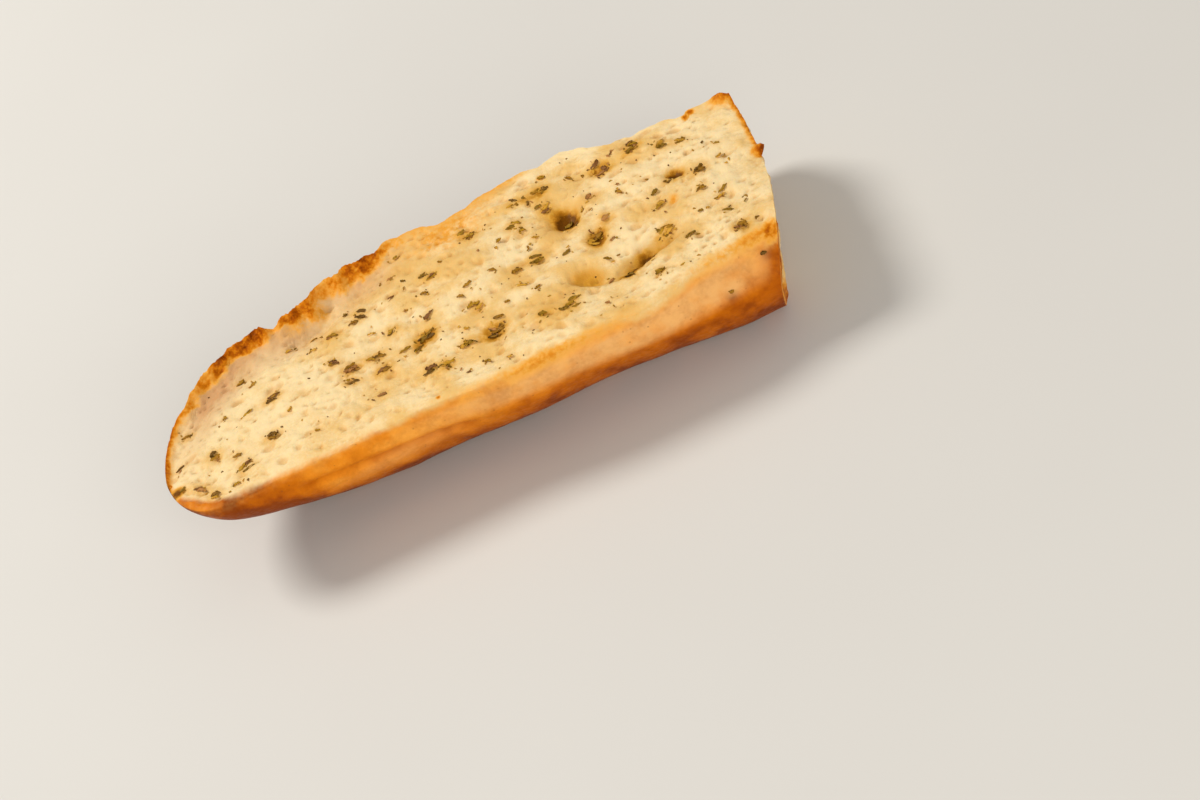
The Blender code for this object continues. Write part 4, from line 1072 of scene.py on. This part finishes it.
# all finishes of the crust: its toast is the most of the lip's, the golden edge's and the near corner's
def crustFinish(x, near, far, crust):
    toasting = loaf["toasting"]
    wide = np.broadcast_to(x, near.shape)
    onLip = lipToast(wide)[1] * rise(far, *toasting["crustFade"]) * (1 + patches(wide, far, 0, "crustToast"))
    atX, reach, strength = toasting["corner"]
    corner = strength * spot(wide, near, atX, 0, reach)
    nearBrowned, farBrowned = (np.interp(x, *zip(*loaf[key])) for key in ("nearBrowned", "farBrowned"))
    return {
        "rim": -np.where(near < far, nearBrowned, farBrowned) - np.minimum(near, far),
        "toast": np.max([onLip, toasting["gold"] * goldenRim(wide, near, far), corner], axis=0),
        "butter": loaf["buttering"]["crust"],
        "bake": crustBake(wide, near, far, crust),
        "pale": crustPale(wide, near, far),
    }


# all finishes of the cut end: it is toasted in a ring inside its crust, and most at the near corner
def cutFinish(y, z, away, pore):
    cut = loaf["cutFinish"]
    strength, width = cut["ring"]
    ring = strength * bell(away, loaf["cutCrust"], width)
    strength, inward, side = cut["corner"]
    corner = strength * rise(away + patches(0, y, z, "cutInside"), *inward) * rise(y, *side)
    return {
        "rim": away - loaf["cutCrust"],
        "toast": ring + corner,
        "dullAndShade": cut["dullAndShade"],
        "open": rise(away, *cut["open"]),
        "butter": cut["butter"] + patches(0, y, z, "cutButter"),
        "pore": np.clip(pore, 0, 1),
        "bake": loaf["baking"]["cut"],
    }


grain = bakedGrain()
flakes = flakePlaces()
print("herbs placed:", len(flakes), "flakes")

# the loaf: face, crust and cut end share their outlines, so it is closed; the tip of the nose is one point
x = rowPlaces()[:, None]
faceX, faceY, faceGrid = facePlaces(x)
crustGrid, crustNear, crustFar = crustPlaces(x, faceGrid)
rows, lanes = faceGrid.shape[:2]
crustLanes = crustGrid.shape[1]
tip = np.array([[loaf["nose"], loaf["tip"], faceTop(np.array(loaf["nose"]), np.array(loaf["tip"]))]])
faceIds = 1 + np.arange(rows * lanes).reshape(rows, lanes)
inner = 1 + rows * lanes + np.arange(rows * (crustLanes - 2)).reshape(rows, crustLanes - 2)
crustIds = np.column_stack([faceIds[:, 0], inner, faceIds[:, -1]])
outline = np.concatenate([faceGrid[-1], crustGrid[-1, -2:0:-1]])
cutPoints, cutAway, cutPore = cutPlaces(outline, crustGrid[-1])
ring = len(outline)
firstCut = 1 + rows * lanes + inner.size
outlineIds = np.concatenate([faceIds[-1], crustIds[-1, -2:0:-1]])
ringIds = np.vstack([outlineIds, firstCut + np.arange(ring * (loaf["cutRings"] - 1)).reshape(-1, ring)])
ringIds = np.column_stack([ringIds, ringIds[:, 0]])
centre = firstCut + len(cutPoints) - 1
points = np.concatenate([tip, faceGrid.reshape(-1, 3), crustGrid[:, 1:-1].reshape(-1, 3), cutPoints])
quads = np.concatenate([quadsBetween(faceIds), quadsBetween(crustIds, flip=True), quadsBetween(ringIds)])
fan = np.concatenate([
    np.column_stack([np.zeros(lanes - 1, int), faceIds[0, :-1], faceIds[0, 1:]]),
    np.column_stack([np.zeros(crustLanes - 1, int), crustIds[0, 1:], crustIds[0, :-1]]),
    np.column_stack([np.full(ring, centre), ringIds[-1, 1:], ringIds[-1, :-1]]),
])

crustInner = crustNear[:, 1:-1], crustFar[:, 1:-1]
parts = (  # how many points each part has, and its finishes
    (1, loaf["tipFinish"]),
    (faceIds.size, faceFinish(x, faceX, faceY, faceGrid, flakes)),
    (inner.size, crustFinish(x, *crustInner, crustGrid[:, 1:-1])),
    (len(cutPoints), cutFinish(cutPoints[:, 1], cutPoints[:, 2], cutAway, cutPore)),
)
finishes = ("rim", "toast", "dullAndShade", "open", "butter", "stain", "pore", "bake", "pale")
values = {
    name: np.concatenate([np.full(count, 0.0) + np.ravel(part.get(name, 0.0)) for count, part in parts])
    for name in finishes
}
faces = quads.tolist() + fan.tolist()
bread = makePiece(loaf["name"], toOrigin(points), faces, values, breadMaterial(grain))
bread.data.set_sharp_from_angle(angle=math.radians(loaf["sharp"]))
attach(bread, "root")
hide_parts("garlic_bread")
print("loaf made:", 2 * len(quads) + len(fan), "triangles")

draw = np.random.RandomState(herbs["seed"] + 1)
shares = np.cumsum([kind[0] for kind in herbs["kinds"].values()], axis=0)
scraps = np.concatenate([flakes, brokenBits(draw, flakes)])
kindOf = (draw.uniform(0, 1, len(scraps)) > shares[:-1, scraps[:, 6].astype(int)]).sum(axis=0)
kindOf[scraps[:, 5] > 0] = 0  # those on the crust are dark
for number, (name, (_, dark, light)) in enumerate(herbs["kinds"].items()):
    chosen = scraps[kindOf == number]
    top, under = leafScraps(chosen, draw)
    leaf = np.concatenate([top.reshape(len(chosen), -1, 3), under.reshape(len(chosen), -1, 3)], axis=1)
    shade = np.repeat(draw.uniform(*herbs["shades"], len(chosen)), leaf.shape[1])
    material = herbMaterial(name, grain, dark, light)
    points, faces = toOrigin(leaf.reshape(-1, 3)), leafFaces(len(chosen)).tolist()
    piece = makePiece(name, points, faces, {"shade": shade}, material)
    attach(piece, "root")
    print(name, "made:", len(chosen), "flakes and bits")

dustPoints, dustFaces, dustShade = herbDust(draw, flakes)
dust = makePiece(
    "herbDust", toOrigin(dustPoints), dustFaces.tolist(), {"shade": dustShade},
    herbMaterial("herbDust", grain, *herbs["speckColours"]),
)
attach(dust, "root")
print("herb dust made:", len(dustFaces) // 8, "specks")

# the studio: a pale floor, a large soft light from above behind on the left, and a fill from the front
studio = {
    "floorSize": 6.0, "floorSteps": 8, "floorPatches": 220.0, "floorRoughness": 0.75,
    "floor": ((212, 209, 204), (205, 201, 196)),
    "sky": ((1.0, 0.97, 0.93), 0.395),
    "lights": {  # place and size in metres, watts, colour
        "keyLight": ((-0.80, 0.70, 1.20), 0.55, 20.1, (0.975, 0.96, 0.91)),
        "fillLight": ((0.30, -1.40, 0.60), 1.2, 16.8, (0.975, 0.96, 0.91)),
    },
    "camera": (0.02248, -0.64559, 0.49955), "cameraTurn": (0.8353, 0.3541, -0.3040),
    "lens": 84.45, "sensor": 36,
}


# a level square of even quads
def makeFloor():
    half = studio["floorSize"] / 2
    t = np.linspace(-half, half, studio["floorSteps"] + 1)
    x, y = np.meshgrid(t, t, indexing="ij")
    points = np.stack([x, y, np.zeros_like(x)], axis=-1).reshape(-1, 3) / mm
    material, tree, coords, shader = newMaterial("paleFloor")
    share = noise(tree, coords, studio["floorPatches"])
    tone = blendColours(tree, share, *(paint(*tone) for tone in studio["floor"]))
    tree.links.new(tone, shader.inputs["Base Color"])
    shader.inputs["Roughness"].default_value = studio["floorRoughness"]
    faces = quadsBetween(np.arange(x.size).reshape(x.shape)).tolist()
    return makePiece("floor", points, faces, {}, material)


# a round soft light that looks at the origin
def makeLight(name, place, size, watts, colour):
    light = bpy.data.lights.new(name, "AREA")
    light.shape, light.size, light.energy, light.color = "DISK", size, watts, colour
    lamp = bpy.data.objects.new(name, light)
    lamp.location = place
    x, y, z = place
    lamp.rotation_euler = (math.atan2(math.hypot(x, y), z), 0, math.atan2(x, -y))
    bpy.context.scene.collection.objects.link(lamp)


makeFloor()
for name, settings in studio["lights"].items():
    makeLight(name, *settings)
world = bpy.data.worlds.new("softRoom")
world.use_nodes = True
world.node_tree.nodes["Background"].inputs["Color"].default_value = (*studio["sky"][0], 1)
world.node_tree.nodes["Background"].inputs["Strength"].default_value = studio["sky"][1]
bpy.context.scene.world = world
camera = bpy.data.objects.new("camera", bpy.data.cameras.new("camera"))
camera.location, camera.rotation_euler = studio["camera"], studio["cameraTurn"]
camera.data.lens, camera.data.sensor_width = studio["lens"], studio["sensor"]
bpy.context.scene.collection.objects.link(camera)
bpy.context.scene.camera = camera
bpy.context.scene.view_settings.view_transform = "Standard"
print("studio made")
